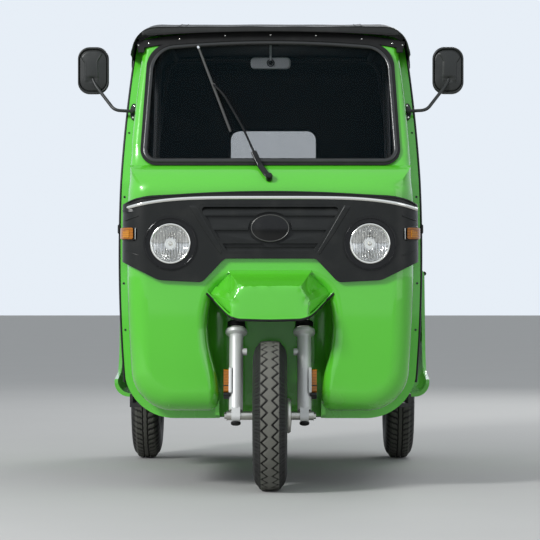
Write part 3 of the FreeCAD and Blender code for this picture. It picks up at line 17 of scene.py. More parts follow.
import bmesh
import bpy
import numpy as np
from bpy.types import Material, Mesh, NodeSocket, NodeTree, Object
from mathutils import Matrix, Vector

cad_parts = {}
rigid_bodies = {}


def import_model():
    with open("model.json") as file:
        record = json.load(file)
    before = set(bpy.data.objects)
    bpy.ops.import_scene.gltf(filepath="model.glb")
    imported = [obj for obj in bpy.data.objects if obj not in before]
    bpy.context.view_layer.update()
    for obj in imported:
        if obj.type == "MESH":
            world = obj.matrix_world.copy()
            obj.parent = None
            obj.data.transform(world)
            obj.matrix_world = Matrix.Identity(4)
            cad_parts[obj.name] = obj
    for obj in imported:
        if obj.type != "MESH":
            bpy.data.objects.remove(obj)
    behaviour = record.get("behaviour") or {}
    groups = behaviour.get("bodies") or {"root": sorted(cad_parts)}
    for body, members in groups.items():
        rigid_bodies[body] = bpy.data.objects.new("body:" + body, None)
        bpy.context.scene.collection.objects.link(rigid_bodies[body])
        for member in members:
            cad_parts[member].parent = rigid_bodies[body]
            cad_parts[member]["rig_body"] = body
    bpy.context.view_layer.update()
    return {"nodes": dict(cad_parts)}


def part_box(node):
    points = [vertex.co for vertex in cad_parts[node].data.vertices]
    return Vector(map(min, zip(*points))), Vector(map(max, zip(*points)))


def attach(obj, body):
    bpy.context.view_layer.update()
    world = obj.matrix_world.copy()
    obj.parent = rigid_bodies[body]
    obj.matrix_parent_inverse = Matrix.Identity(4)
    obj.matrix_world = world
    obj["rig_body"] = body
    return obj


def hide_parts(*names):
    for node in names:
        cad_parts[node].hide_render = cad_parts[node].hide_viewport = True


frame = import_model()
LOG = logging.getLogger("auto_rickshaw")
MM = 0.001
Array = np.ndarray
Triple = tuple[float, float, float]
Pair = tuple[float, float]
RIGHT, BACKWARD, UP = np.eye(3)
FORWARD = -BACKWARD
ORIGIN = np.zeros(3)


def box_middle(node: str) -> Array:
    """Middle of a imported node's box.

    Args:
        node: The node's name.

    Returns:
        The point, in metres.
    """
    low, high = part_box(node)
    return (np.array(low) + np.array(high)) / 2


FRONT_AXLE = box_middle("front_tyre")


def spot(across: float, behind: float, up: float) -> Array:
    """Point given in millimetres: across, behind the front axle and above the ground.

    Args:
        across: Distance to the right of the middle plane.
        behind: Distance behind the front axle.
        up: Height above the ground.

    Returns:
        The point in metres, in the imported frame.
    """
    return np.array([across, behind, up], float) * MM + np.array([0.0, FRONT_AXLE[1], 0.0])


def spots(across: Array, behind: Array, up: Array) -> Array:
    """Points given as arrays in millimetres, stacked along a last axis of three.

    Args:
        across: Distances to the right of the middle plane.
        behind: Distances behind the front axle.
        up: Heights above the ground.

    Returns:
        The points in metres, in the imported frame.
    """
    across, behind, up = np.broadcast_arrays(across, behind, up)
    return np.stack([across * MM, behind * MM + FRONT_AXLE[1], up * MM], axis=-1)


# Shader maths
class Term:
    """A shader socket that takes part in Python arithmetic."""

    def __init__(self, bench: Bench, socket: NodeSocket) -> None:
        """Keep the socket and the bench that owns its tree."""
        self.bench = bench
        self.socket = socket

    def _math(self, operation: str, *values: Term | float) -> Term:
        """One Math node on this term and others."""
        inputs = dict(enumerate((self, *values)))
        return self.bench.node("ShaderNodeMath", {"operation": operation}, inputs)

    def __add__(self, other: Term | float) -> Term:
        """Sum."""
        return self._math("ADD", other)

    __radd__ = __add__

    def __sub__(self, other: Term | float) -> Term:
        """Difference."""
        return self._math("SUBTRACT", other)

    def __rsub__(self, other: float) -> Term:
        """Difference the other way round."""
        return self.bench.node("ShaderNodeMath", {"operation": "SUBTRACT"}, {0: other, 1: self})

    def __mul__(self, other: Term | float) -> Term:
        """Product."""
        return self._math("MULTIPLY", other)

    __rmul__ = __mul__

    def sine(self) -> Term:
        """Sine."""
        return self._math("SINE")

    def at_least(self, other: Term | float) -> Term:
        """The larger of two."""
        return self._math("MAXIMUM", other)


class Bench:
    """A node tree, with the calls that fill it."""

    def __init__(self, tree: NodeTree) -> None:
        """Empty the tree and keep it."""
        self.tree = tree
        self.tree.nodes.clear()

    def close(self, kind: str, surface: NodeSocket) -> None:
        """Add the tree's output and link the surface to it."""
        self.tree.links.new(surface, self.tree.nodes.new(kind).inputs["Surface"])

    def principled(self) -> None:
        """Add the Principled shader that a material's calls fill."""
        self.shader = self.tree.nodes.new("ShaderNodeBsdfPrincipled")
        self.close("ShaderNodeOutputMaterial", self.shader.outputs["BSDF"])

    def node(
        self,
        kind: str,
        settings: dict[str, object] | None = None,
        inputs: dict[int | str, object] | None = None,
        out: int | str = 0,
    ) -> Term:
        """Add a node of any type.

        Args:
            kind: The node's type.
            settings: Properties that are set first.
            inputs: Values or terms by socket.
            out: The socket that is returned.

        Returns:
            The chosen output as a term.
        """
        made = self.tree.nodes.new(kind)
        for name, value in (settings or {}).items():
            setattr(made, name, value)
        for key, value in (inputs or {}).items():
            self.feed(made.inputs[key], value)
        return Term(self, made.outputs[out])

    def feed(self, socket: NodeSocket, value: object) -> None:
        """Put a number or a colour on a socket, or link a term to it.

        Args:
            socket: The socket.
            value: The number, colour or term.
        """
        if isinstance(value, Term):
            self.tree.links.new(value.socket, socket)
        else:
            socket.default_value = value

    def place(self) -> Term:
        """The surface's place on the piece, in metres."""
        return self.node("ShaderNodeTexCoord", out="Object")

    def axis(self, name: str) -> Term:
        """One coordinate of the surface's place, by its letter."""
        return self.node("ShaderNodeSeparateXYZ", inputs={0: self.place()}, out=name)

    def noise(self, scale: float, detail: float = 2.0, roughness: float = 0.5) -> Term:
        """Cloudy noise from 0 to 1, whose scale is in waves a metre."""
        inputs = {"Vector": self.place(), "Scale": scale, "Detail": detail, "Roughness": roughness}
        return self.node("ShaderNodeTexNoise", inputs=inputs)

    def cells(self, scale: float, feature: str = "F1") -> Term:
        """Distance to the nearest of scattered points, whose scale is in cells a metre."""
        inputs = {"Vector": self.place(), "Scale": scale}
        return self.node("ShaderNodeTexVoronoi", {"feature": feature}, inputs, "Distance")

    def attribute(self, name: str) -> Term:
        """A number that the mesh holds at each point."""
        return self.node("ShaderNodeAttribute", {"attribute_name": name}, out="Fac")

    def within(self, value: Term, low: float, high: float) -> Term:
        """0 below one level, 1 above the other, and smooth between them."""
        inputs = {"Value": value, "From Min": low, "From Max": high}
        return self.node("ShaderNodeMapRange", {"interpolation_type": "SMOOTHSTEP"}, inputs)

    def mix(self, share: Term | float, first: object, second: object) -> Term:
        """Colour between two colours."""
        inputs = {0: share, 6: first, 7: second}
        return self.node("ShaderNodeMix", {"data_type": "RGBA"}, inputs, 2)

    def bump(self, height: Term, distance: float, strength: float = 1.0) -> None:
        """Let a height in the range 0 to 1 raise the surface by a distance in metres."""
        inputs = {"Height": height, "Distance": distance, "Strength": strength}
        self.set(Normal=self.node("ShaderNodeBump", inputs=inputs))

    def set(self, **sockets: object) -> None:
        """Values or terms for the shader's sockets, with _ for a space in their names."""
        for name, value in sockets.items():
            self.feed(self.shader.inputs[name.replace("_", " ")], value)


def opaque(colour: Triple, share: float = 1.0) -> tuple[float, float, float, float]:
    """Colour with its alpha, scaled by a share."""
    return (*(channel * share for channel in colour), 1.0)


def new_material(name: str) -> tuple[Material, Bench]:
    """An empty material with its Principled shader, and the bench that fills it.

    Args:
        name: The material's name.

    Returns:
        The material and its bench.
    """
    material = bpy.data.materials.new(name)
    material.use_nodes = True
    bench = Bench(material.node_tree)
    bench.principled()
    return material, bench


# Finishes
@dataclass(frozen=True)
class Finish:
    """A finish, by its name and the record's slot that it belongs to."""

    name: str
    slot: str

    def material(self) -> Material:
        """The finish's material, made once.

        Returns:
            The material.
        """
        label = self.name + "_finish"
        made = bpy.data.materials.get(label)
        if not made:
            made, bench = new_material(label)
            self.fill(bench)
        return made

    def fill(self, bench: Bench) -> None:
        """Make the nodes."""


@dataclass(frozen=True)
class GlossPaint(Finish):
    """Sprayed gloss paint under clear coat, with faint orange peel and road dust low down."""

    colour: Triple
    dust: Triple = (0.32, 0.30, 0.25)
    dusty_below: float = 0.42

    def fill(self, bench: Bench) -> None:
        """Colour with slow variation, dust by height, orange peel as bump.

        Args:
            bench: The bench that holds the shader.
        """
        cloud = bench.noise(3.0, 3.0)
        base = bench.mix(cloud, opaque(self.colour, 0.93), opaque(self.colour, 1.06))
        low = 1 - bench.within(bench.axis("Z"), 0.24, self.dusty_below)
        film = low * bench.within(bench.noise(9.0, 5.0), 0.35, 0.80) * 0.14
        bench.set(Base_Color=bench.mix(film, base, opaque(self.dust)))
        bench.set(Roughness=film * 0.5 + bench.noise(9.0) * 0.06 + 0.22)
        bench.set(Coat_Weight=1 - film, Coat_Roughness=0.03, IOR=1.5)
        bench.bump(bench.noise(260.0, 1.0), 0.00012, 0.35)


@dataclass(frozen=True)
class MouldedPlastic(Finish):
    """Moulded plastic with a fine grain and a thin film of dust in its grain."""

    colour: Triple
    roughness: float = 0.42
    grain: float = 1400.0
    grain_height: float = 0.00012
    specular: float = 0.22
    dust: Triple = (0.10, 0.10, 0.09)

    def fill(self, bench: Bench) -> None:
        """Grain as bump, dust and gloss that drift over the piece.

        Args:
            bench: The bench that holds the shader.
        """
        drift = bench.noise(14.0, 4.0)
        film = bench.within(drift, 0.45, 0.85) * 0.10
        bench.set(Base_Color=bench.mix(film, opaque(self.colour), opaque(self.dust)))
        bench.set(Roughness=drift * 0.14 + (self.roughness - 0.07))
        bench.set(Specular_IOR_Level=self.specular)
        bench.bump(bench.cells(self.grain) + bench.noise(500.0, 3.0), self.grain_height, 0.5)


@dataclass(frozen=True)
class Rubber(Finish):
    """Plain black rubber, matt, with a bloom of grey and fine marks."""

    colour: Triple = (0.008, 0.008, 0.008)
    roughness: float = 0.45

    def fill(self, bench: Bench) -> None:
        """Bloom by noise, fine marks as bump.

        Args:
            bench: The bench that holds the shader.
        """
        bloom = bench.within(bench.noise(30.0, 5.0), 0.4, 0.9) * 0.35
        bench.set(Base_Color=bench.mix(bloom, opaque(self.colour), (0.030, 0.030, 0.028, 1)))
        bench.set(Roughness=bench.noise(60.0, 3.0) * 0.16 + (self.roughness - 0.08))
        bench.set(Specular_IOR_Level=0.25)
        bench.bump(bench.noise(900.0, 3.0), 0.0001, 0.4)


@dataclass(frozen=True)
class TyreRubber(Finish):
    """Tyre rubber: dusty grey where the tread is worn, black in grooves and on the walls."""

    worn: Triple = (0.150, 0.150, 0.132)
    wall: Triple = (0.010, 0.010, 0.0095)

    def fill(self, bench: Bench) -> None:
        """Worn share from the mesh, broken up by grit.

        Args:
            bench: The bench that holds the shader.
        """
        worn = bench.attribute("worn")
        grit = bench.noise(420.0, 4.0, 0.65)
        smear = bench.noise(18.0, 3.0)
        share = worn * (bench.within(grit + smear * 0.8, 0.35, 0.95) * 0.4 + 0.6)
        wall = bench.mix(smear * 0.3, opaque(self.wall), (0.04, 0.039, 0.035, 1))
        bench.set(Base_Color=bench.mix(share, wall, opaque(self.worn)))
        bench.set(Roughness=share * 0.25 + 0.6, Specular_IOR_Level=0.3)
        bench.bump(grit, 0.0004, 0.5)


@dataclass(frozen=True)
class Metal(Finish):
    """Bare, painted or plated metal, with a grain of its own."""

    colour: Triple
    roughness: float
    metallic: float = 1.0
    grain: float = 300.0
    grain_height: float = 0.00008
    soil: Triple = (0.09, 0.075, 0.055)
    soiled: float = 0.15

    def fill(self, bench: Bench) -> None:
        """Soil in patches, which also dulls the metal, and grain as bump.

        Args:
            bench: The bench that holds the shader.
        """
        patch = bench.within(bench.noise(26.0, 6.0, 0.6), 0.55, 0.8) * self.soiled
        bench.set(Base_Color=bench.mix(patch, opaque(self.colour), opaque(self.soil)))
        bench.set(Metallic=(1 - patch) * self.metallic)
        bench.set(Roughness=patch * 0.4 + bench.noise(80.0, 3.0) * 0.08 + (self.roughness - 0.04))
        bench.bump(bench.noise(self.grain, 3.0), self.grain_height, 0.5)


@dataclass(frozen=True)
class Glass(Finish):
    """Thin sheet or lens seen as a tint over what lies behind it."""

    colour: Triple
    density: float
    roughness: float = 0.02
    waves: float = 0.0
    specular: float = 0.5

    def fill(self, bench: Bench) -> None:
        """Tint by alpha with a faint film, and slow waves as bump.

        Args:
            bench: The bench that holds the shader.
        """
        film = bench.within(bench.noise(8.0, 5.0), 0.5, 0.9) * 0.008
        bench.set(Base_Color=bench.mix(film, opaque(self.colour), (0.4, 0.4, 0.38, 1)))
        bench.set(Alpha=film + self.density, Roughness=bench.noise(5.0) * 0.01 + self.roughness)
        bench.set(Specular_IOR_Level=self.specular)
        if self.waves:
            bench.bump(bench.noise(12.0, 2.0), self.waves, 1.0)


@dataclass(frozen=True)
class LampPlastic(Finish):
    """Coloured clear plastic over a reflector; its colour paints the light and shade that its ribs
    catch.
    """

    colour: Triple
    rib: float = 620.0

    def fill(self, bench: Bench) -> None:
        """Cells and ribs as painted light and shade in the colour, and as bump.

        Args:
            bench: The bench that holds the shader.
        """
        ribs = (bench.axis("Z") * self.rib).sine() * 0.5 + 0.5
        cell = bench.cells(150.0)
        # The ribs' sine and the cells darken the colour in stripes and patches: painted light and
        # shade of a ribbed lens.
        share = ribs * 0.4 + cell * 0.3
        bench.set(Base_Color=bench.mix(share, opaque(self.colour), opaque(self.colour, 0.35)))
        bench.set(Roughness=cell * 0.1 + 0.12, Specular_IOR_Level=0.3)
        bench.set(Coat_Weight=0.3, Coat_Roughness=0.02)
        bench.bump(ribs, 0.0006, 0.4)


@dataclass(frozen=True)
class CoatedCloth(Finish):
    """Coated canvas: a weave under a soft sheen, with rubbed and dusty places."""

    colour: Triple
    threads: float = 900.0

    def fill(self, bench: Bench) -> None:
        """Two crossing sines make the weave, noise the rubbed places.

        Args:
            bench: The bench that holds the shader.
        """
        warp = (bench.axis("X") * (self.threads * math.tau)).sine()
        weft = ((bench.axis("Y") + bench.axis("Z")) * (self.threads * math.tau)).sine()
        rubbed = bench.within(bench.noise(7.0, 5.0, 0.6), 0.45, 0.8)
        bench.set(Base_Color=bench.mix(rubbed * 0.6, opaque(self.colour), (0.026, 0.027, 0.026, 1)))
        bench.set(Roughness=bench.noise(40.0, 3.0) * 0.2 + 0.42)
        bench.set(Sheen_Weight=0.04, Specular_IOR_Level=0.35)
        bench.bump(warp * weft * 0.25 + bench.noise(16.0, 4.0) * 6.0, 0.0004, 0.6)


@dataclass(frozen=True)
class SeatVinyl(Finish):
    """Leather-grained vinyl, with creased cells and a rubbed shine."""

    colour: Triple

    def fill(self, bench: Bench) -> None:
        """Two scales of cells make the grain.

        Args:
            bench: The bench that holds the shader.
        """
        grain = bench.cells(520.0) + bench.cells(1300.0) * 0.5
        rubbed = bench.within(bench.noise(9.0, 4.0), 0.4, 0.8)
        bench.set(Base_Color=bench.mix(rubbed * 0.5, opaque(self.colour), opaque(self.colour, 1.8)))
        bench.set(Roughness=0.55 - rubbed * 0.2, Specular_IOR_Level=0.35)
        bench.bump(grain + bench.noise(30.0, 3.0), 0.0006, 0.55)


GREEN = GlossPaint("leaf_green_gloss", "body_paint", (0.095, 0.56, 0.026))
BLACK_PLASTIC = MouldedPlastic(
    "black_satin_plastic", "black_plastic", (0.0105, 0.0115, 0.011), 0.34, specular=0.30
)
GLOSS_BLACK = MouldedPlastic(
    "black_gloss_plastic", "black_plastic", (0.005, 0.005, 0.005), 0.14, 300.0, 0.00002, 0.35
)
BEAD_RUBBER = Rubber("bead_rubber", "black_rubber")
SOFT_RUBBER = Rubber("soft_rubber", "black_rubber", (0.008, 0.008, 0.008), 0.6)
TREAD = TyreRubber("tyre_rubber", "tyre_rubber")
FORK_SILVER = Metal(
    "fork_silver", "fork_silver", (0.62, 0.63, 0.62), 0.48, 0.25, 500.0, 0.00003, soiled=0.06
)
WHEEL_SILVER = Metal(
    "wheel_silver", "wheel_paint", (0.42, 0.43, 0.43), 0.42, 0.4, 300.0, 0.00005, soiled=0.35
)
FRAME_BLACK = Metal(
    "frame_black", "frame_paint", (0.009, 0.009, 0.009), 0.38, 0.0, 500.0, 0.00006, soiled=0.25
)
ZINC = Metal(
    "zinc_plate", "engine_metal", (0.55, 0.54, 0.50), 0.35, 1.0, 700.0, 0.00004, soiled=0.2
)
CAST_METAL = Metal(
    "cast_alloy", "engine_metal", (0.30, 0.30, 0.29), 0.55, 0.7, 900.0, 0.0004, soiled=0.5
)
HOT_STEEL = Metal(
    "silencer_steel", "engine_metal", (0.16, 0.13, 0.11), 0.5, 0.8, 400.0, 0.0001, soiled=0.7
)
POLISHED = Metal(
    "polished_trim", "lamp_chrome", (0.86, 0.85, 0.80), 0.10, 1.0, 60.0, 0.00001, soiled=0.03
)
REFLECTOR = Metal(
    "lamp_reflector", "lamp_chrome", (0.80, 0.80, 0.79), 0.07, 1.0, 60.0, 0.00001, soiled=0.0
)
MIRROR = Metal(
    "mirror_silver", "mirror_glass", (0.85, 0.86, 0.87), 0.03, 1.0, 20.0, 0.000001, soiled=0.0
)
BRUSHED = Metal(
    "brushed_trim", "lamp_chrome", (0.085, 0.085, 0.080), 0.32, 0.4, 300.0, 0.00002, soiled=0.05
)
MIRROR_PLASTIC = MouldedPlastic(
    "mirror_shell_plastic", "black_plastic", (0.022, 0.024, 0.023), 0.36, 900.0, specular=0.4
)
GASKET_INSERT = MouldedPlastic(
    "gasket_insert", "black_rubber", (0.012, 0.013, 0.012), 0.24, 300.0, 0.00003, 0.7
)
PALE_PLASTIC = MouldedPlastic(
    "pale_plastic", "black_plastic", (0.66, 0.70, 0.74), 0.35, 700.0, 0.00003
)
MIRROR_BACK = MouldedPlastic(
    "mirror_back_plastic", "black_plastic", (0.62, 0.66, 0.70), 0.30, 700.0, 0.00003, 0.5
)
PIPING = MouldedPlastic("seat_piping", "seat_vinyl", (0.02, 0.02, 0.02), 0.35, 700.0, 0.00003)
LIP_PIPING = MouldedPlastic(
    "lip_piping", "canopy_fabric", (0.018, 0.018, 0.018), 0.40, 700.0, 0.00003
)
THREAD = MouldedPlastic("grey_thread", "canopy_fabric", (0.045, 0.045, 0.043), 0.8, 2500.0, 0.00005)
REAR_TREAD = TyreRubber("rear_tyre_rubber", "tyre_rubber", (0.085, 0.085, 0.075))
AMBER = LampPlastic("amber_lens", "amber_plastic", (0.46, 0.150, 0.003))
AMBER_CORE = LampPlastic("amber_core", "amber_plastic", (0.66, 0.25, 0.010), 900.0)
RED = LampPlastic("red_lens", "red_plastic", (0.55, 0.01, 0.008))
# Near-black tint at a high alpha: painted shade that darkens the cabin seen through the windscreen.
SCREEN_GLASS_SHADE_TINT = Glass(
    "windscreen_glass", "clear_glass", (0.001, 0.0045, 0.0065), 0.36, 0.015, specular=0.10
)
LAMP_GLASS = Glass("lamp_glass", "clear_glass", (0.75, 0.78, 0.78), 0.03, 0.02, specular=0.5)
CLEAR_SHEET = Glass("clear_sheet", "clear_sheet", (0.25, 0.42, 0.52), 0.05, 0.08, 0.004)
CANVAS = CoatedCloth("black_canvas", "canopy_fabric", (0.0085, 0.0095, 0.0085))
VINYL = SeatVinyl("seat_vinyl", "seat_vinyl", (0.012, 0.0115, 0.0115))


# Shapes as arrays
@dataclass
class Form:
    """Surface as arrays: points in metres, four-sided and three-sided faces, values at points."""

    points: Array
    quads: Array = field(default_factory=lambda: np.zeros((0, 4), int))
    triangles: Array = field(default_factory=lambda: np.zeros((0, 3), int))
    values: dict[str, Array] = field(default_factory=dict)

    def joined(self, *others: Form) -> Form:
        """This form and others as one.

        Args:
            others: Forms whose faces are added.

        Returns:
            The joined form, with the values that every form has.
        """
        forms = (self, *others)
        starts = np.cumsum([0] + [len(f.points) for f in forms[:-1]])
        names = set.intersection(*(set(f.values) for f in forms))
        return Form(
            np.concatenate([f.points for f in forms]),
            np.concatenate([f.quads + s for f, s in zip(forms, starts)]),
            np.concatenate([f.triangles + s for f, s in zip(forms, starts)]),
            {n: np.concatenate([f.values[n] for f in forms]) for n in names},
        )

    def over(self, points: Array) -> Form:
        """The same faces over other points."""
        return Form(points, self.quads, self.triangles, self.values)

    def flipped(self) -> Form:
        """The form with every face turned over."""
        return Form(self.points, self.quads[:, ::-1], self.triangles[:, ::-1], self.values)

    def both(self) -> Form:
        """The form and its image across the middle plane, whose faces also point outwards."""
        return self.joined(self.over(self.points * [-1.0, 1.0, 1.0]).flipped())

    def placed(self, turn: Array, shift: Array) -> Form:
        """A form in millimetres, turned by a 3 by 3 matrix and shifted by metres."""
        return self.over(self.points * MM @ turn.T + shift)

    def copies(self, turns: Array, shifts: Array) -> Form:
        """One copy of the form for each turn and shift.

        Args:
            turns: Rotation matrices, n by 3 by 3, or one for all.
            shifts: Places, n by 3, or one.

        Returns:
            All the copies as one form.
        """
        shifts = np.atleast_2d(shifts)
        count = len(shifts)
        turns = np.broadcast_to(turns, (count, 3, 3))
        points = np.einsum("nij,pj->npi", turns, self.points) + shifts[:, None, :]
        step = (np.arange(count) * len(self.points))[:, None, None]
        values = {n: np.tile(v, count) for n, v in self.values.items()}
        return Form(
            points.reshape(-1, 3),
            (self.quads[None] + step).reshape(-1, 4),
            (self.triangles[None] + step).reshape(-1, 3),
            values,
        )

    def mesh(self, name: str) -> Mesh:
        """The form as a Blender mesh.

        Args:
            name: The mesh's name.

        Returns:
            The mesh, with the values as attributes of its points.
        """
        mesh = bpy.data.meshes.new(name)
        mesh.vertices.add(len(self.points))
        mesh.vertices.foreach_set("co", self.points.astype(np.float32).ravel())
        corners = np.concatenate([self.quads.ravel(), self.triangles.ravel()])
        sizes = np.concatenate([np.full(len(self.quads), 4), np.full(len(self.triangles), 3)])
        mesh.loops.add(len(corners))
        mesh.loops.foreach_set("vertex_index", corners.astype(np.int32))
        mesh.polygons.add(len(sizes))
        starts = np.concatenate([[0], np.cumsum(sizes)[:-1]])
        mesh.polygons.foreach_set("loop_start", starts.astype(np.int32))
        for key, value in self.values.items():
            held = mesh.attributes.new(key, "FLOAT", "POINT")
            held.data.foreach_set("value", value.astype(np.float32))
        mesh.update(calc_edges=True)
        mesh.validate()
        return mesh


def grid(points: Array, wrap_rows: bool = False, wrap_columns: bool = False) -> Form:
    """Surface through a grid of points.

    Args:
        points: Rows by columns by three.
        wrap_rows: Whether the last row joins the first.
        wrap_columns: Whether the last column joins the first.

    Returns:
        The surface; its faces look along rows' step crossed with columns' step.
    """
    rows, columns = points.shape[:2]
    index = np.arange(rows * columns).reshape(rows, columns)
    down = np.concatenate([index, index[:1]]) if wrap_rows else index
    full = np.concatenate([down, down[:, :1]], axis=1) if wrap_columns else down
    quads = np.stack([full[:-1, :-1], full[1:, :-1], full[1:, 1:], full[:-1, 1:]], axis=-1)
    return Form(points.reshape(-1, 3), quads.reshape(-1, 4))


def fan(rim: Array, flip: bool = False) -> Form:
    """Flat cap over a ring of points, as triangles round its middle.

    Args:
        rim: The ring, n by 3.
        flip: Whether the cap looks the other way.

    Returns:
        The cap.
    """
    count = len(rim)
    index = np.arange(count)
    triangles = np.stack([index, np.roll(index, -1), np.full(count, count)], axis=1)
    if flip:
        triangles = triangles[:, ::-1]
    return Form(np.concatenate([rim, rim.mean(axis=0)[None]]), triangles=triangles)


def unit(vectors: Array) -> Array:
    """Vectors of length one along the last axis."""
    return vectors / np.maximum(np.linalg.norm(vectors, axis=-1, keepdims=True), 1e-12)


def swept(path: Array, profile: Array, facing: Array, closed: bool = False) -> Form:
    """Profile carried along a path.

    A profile point (a, b) goes to path + a * side + b * face, where face is the facing direction
    made square to the path and side is the path's direction crossed with face.

    Args:
        path: Points, n by 3.
        profile: Closed outline, m by 2.
        facing: One direction, or one for each point.
        closed: Whether the path is a loop.

    Returns:
        The closed skin, with flat ends on an open path.
    """
    if closed:
        along = np.roll(path, -1, axis=0) - np.roll(path, 1, axis=0)
    else:
        along = np.gradient(path, axis=0)
    along = unit(along)
    facing = np.broadcast_to(facing, path.shape)
    face = unit(facing - along * (facing * along).sum(-1, keepdims=True))
    side = np.cross(along, face)
    points = path[:, None] + profile[:, :1] * side[:, None] + profile[:, 1:] * face[:, None]
    skin = grid(points, closed, True)
    if closed:
        return skin
    return skin.joined(fan(points[0], True), fan(points[-1]))


def ring_profile(radius: float, sides: int = 12, squash: float = 1.0) -> Array:
    """Round or oval outline, in metres."""
    angle = np.arange(sides) * math.tau / sides
    return np.stack([np.cos(angle), np.sin(angle) * squash], axis=1) * radius


def tube(path: Array, radius: float, sides: int = 12, closed: bool = False) -> Form:
    """Round bar along a path.

    Args:
        path: Points, n by 3.
        radius: The bar's radius in metres.
        sides: Faces round the bar.
        closed: Whether the path is a loop.

    Returns:
        The bar's skin.
    """
    spread = np.ptp(path, axis=0)
    facing = np.eye(3)[int(np.argmin(spread))]
    return swept(path, ring_profile(radius, sides), facing, closed)


def turned(profile: Array, centre: Array, axis: Array, sides: int = 48) -> Form:
    """Profile of (along, radius) points turned about an axis.

    Args:
        profile: Points, m by 2, in metres.
        centre: The axis's origin.
        axis: The axis's direction.
        sides: Steps round the axis.

    Returns:
        The skin; it looks towards the axis where along grows with the profile.
    """
    axis = unit(np.asarray(axis, float))
    first = unit(np.cross(axis, [0.0, 0.0, 1.0] if abs(axis[2]) < 0.9 else [1.0, 0.0, 0.0]))
    second = np.cross(axis, first)
    angle = np.arange(sides) * math.tau / sides
    spoke = np.cos(angle)[:, None] * first + np.sin(angle)[:, None] * second
    points = centre + profile[:, None, :1] * axis + profile[:, None, 1:] * spoke[None]
    return grid(points, False, True)


def rounded_loop(corners: list[Triple] | Array, steps: int = 8) -> Array:
    """Closed outline with round corners.

    Each corner's arc is worked out as one array from its two tangent points and its centre.

    Args:
        corners: (u, v, radius) of each corner, anticlockwise.
        steps: Points along each arc.

    Returns:
        Points, n by 2.
    """
    corners = np.array(corners, float)
    points, radii = corners[:, :2], corners[:, 2:]
    back = unit(np.roll(points, 1, axis=0) - points)
    on = unit(np.roll(points, -1, axis=0) - points)
    half = np.arccos(np.clip((back * on).sum(-1), -1, 1))[:, None] / 2
    centre = points + unit(back + on) * radii / np.sin(half)
    start = points + back * radii / np.tan(half) - centre
    end = points + on * radii / np.tan(half) - centre
    share = np.linspace(0, 1, steps)[None, :, None]
    angle = math.pi - 2 * half[:, None, :]
    spread = np.maximum(np.sin(angle), 1e-9)
    arcs = np.sin((1 - share) * angle) * start[:, None] + np.sin(share * angle) * end[:, None]
    return (arcs / spread + centre[:, None]).reshape(-1, 2)


def round_box(low: Pair, high: Pair, radius: float, steps: int = 4) -> Array:
    """Outline of a box with round corners, anticlockwise from its lower left one.

    Args:
        low: Its lower left corner.
        high: Its upper right corner.
        radius: The corners' radius.
        steps: Steps round each corner.

    Returns:
        Points, n by 2.
    """
    (left, foot), (right, top) = low, high
    places = ((left, foot), (right, foot), (right, top), (left, top))
    return rounded_loop([(u, v, radius) for u, v in places], steps)


def evened(points: Array, count: int, closed: bool = False) -> Array:
    """Points spaced evenly along a polyline.

    Args:
        points: The line, n by 2 or 3.
        count: How many points are wanted.
        closed: Whether the line is a loop.

    Returns:
        The new points.
    """
    full = np.concatenate([points, points[:1]]) if closed else points
    run = np.concatenate([[0], np.cumsum(np.linalg.norm(np.diff(full, axis=0), axis=1))])
    at = np.linspace(0, run[-1], count + 1)[:-1] if closed else np.linspace(0, run[-1], count)
    return np.stack([np.interp(at, run, full[:, i]) for i in range(full.shape[1])], axis=1)


def smoothed(share: Array) -> Array:
    """0 to 1 with level ends, from a share that may run outside that range."""
    share = np.clip(share, 0, 1)
    return share * share * (3 - 2 * share)


def arc_route(corners: list[Triple] | Array, bend: float, steps: int = 7) -> Array:
    """Path through corner points whose inner corners are rounded by quadratic arcs.

    Args:
        corners: Points in metres.
        bend: How far from each corner its arc starts, in metres.
        steps: Points along each arc.

    Returns:
        Points, n by 3.
    """
    corner = np.array(corners, float)
    share = np.linspace(0, 1, steps)[:, None]
    pieces = [corner[:1]]
    for before, here, after in zip(corner, corner[1:], corner[2:]):
        start = here + unit(before - here) * min(bend, np.linalg.norm(before - here) * 0.49)
        end = here + unit(after - here) * min(bend, np.linalg.norm(after - here) * 0.49)
        pieces.append(start * (1 - share) ** 2 + here * 2 * share * (1 - share) + end * share**2)
    pieces.append(corner[-1:])
    return np.concatenate(pieces)


# Pieces
NODE_MERGE = 0.00002
BEVEL_FROM = 38.0


class Shading(Enum):
    """How a piece's normals run."""

    CREASED = 32.0
    SMOOTH = 180.0


def closed(mesh: Mesh) -> bool:
    """Whether each edge of a mesh lies between two faces.

    Args:
        mesh: The mesh.

    Returns:
        True for a closed mesh.
    """
    edges = np.empty(len(mesh.loops), np.int32)
    mesh.loops.foreach_get("edge_index", edges)
    return bool((np.bincount(edges, minlength=len(mesh.edges)) == 2).all())


@contextmanager
def worked(mesh: Mesh, merge: float) -> Iterator[bmesh.types.BMesh]:
    """Open a mesh for editing, with its doubled points merged.

    Args:
        mesh: The mesh that the edit is written back to.
        merge: Distance within which points are doubles, in metres.

    Yields:
        The mesh that is edited.
    """
    work = bmesh.new()
    work.from_mesh(mesh)
    bmesh.ops.remove_doubles(work, verts=work.verts, dist=merge)
    yield work
    work.to_mesh(mesh)
    work.free()


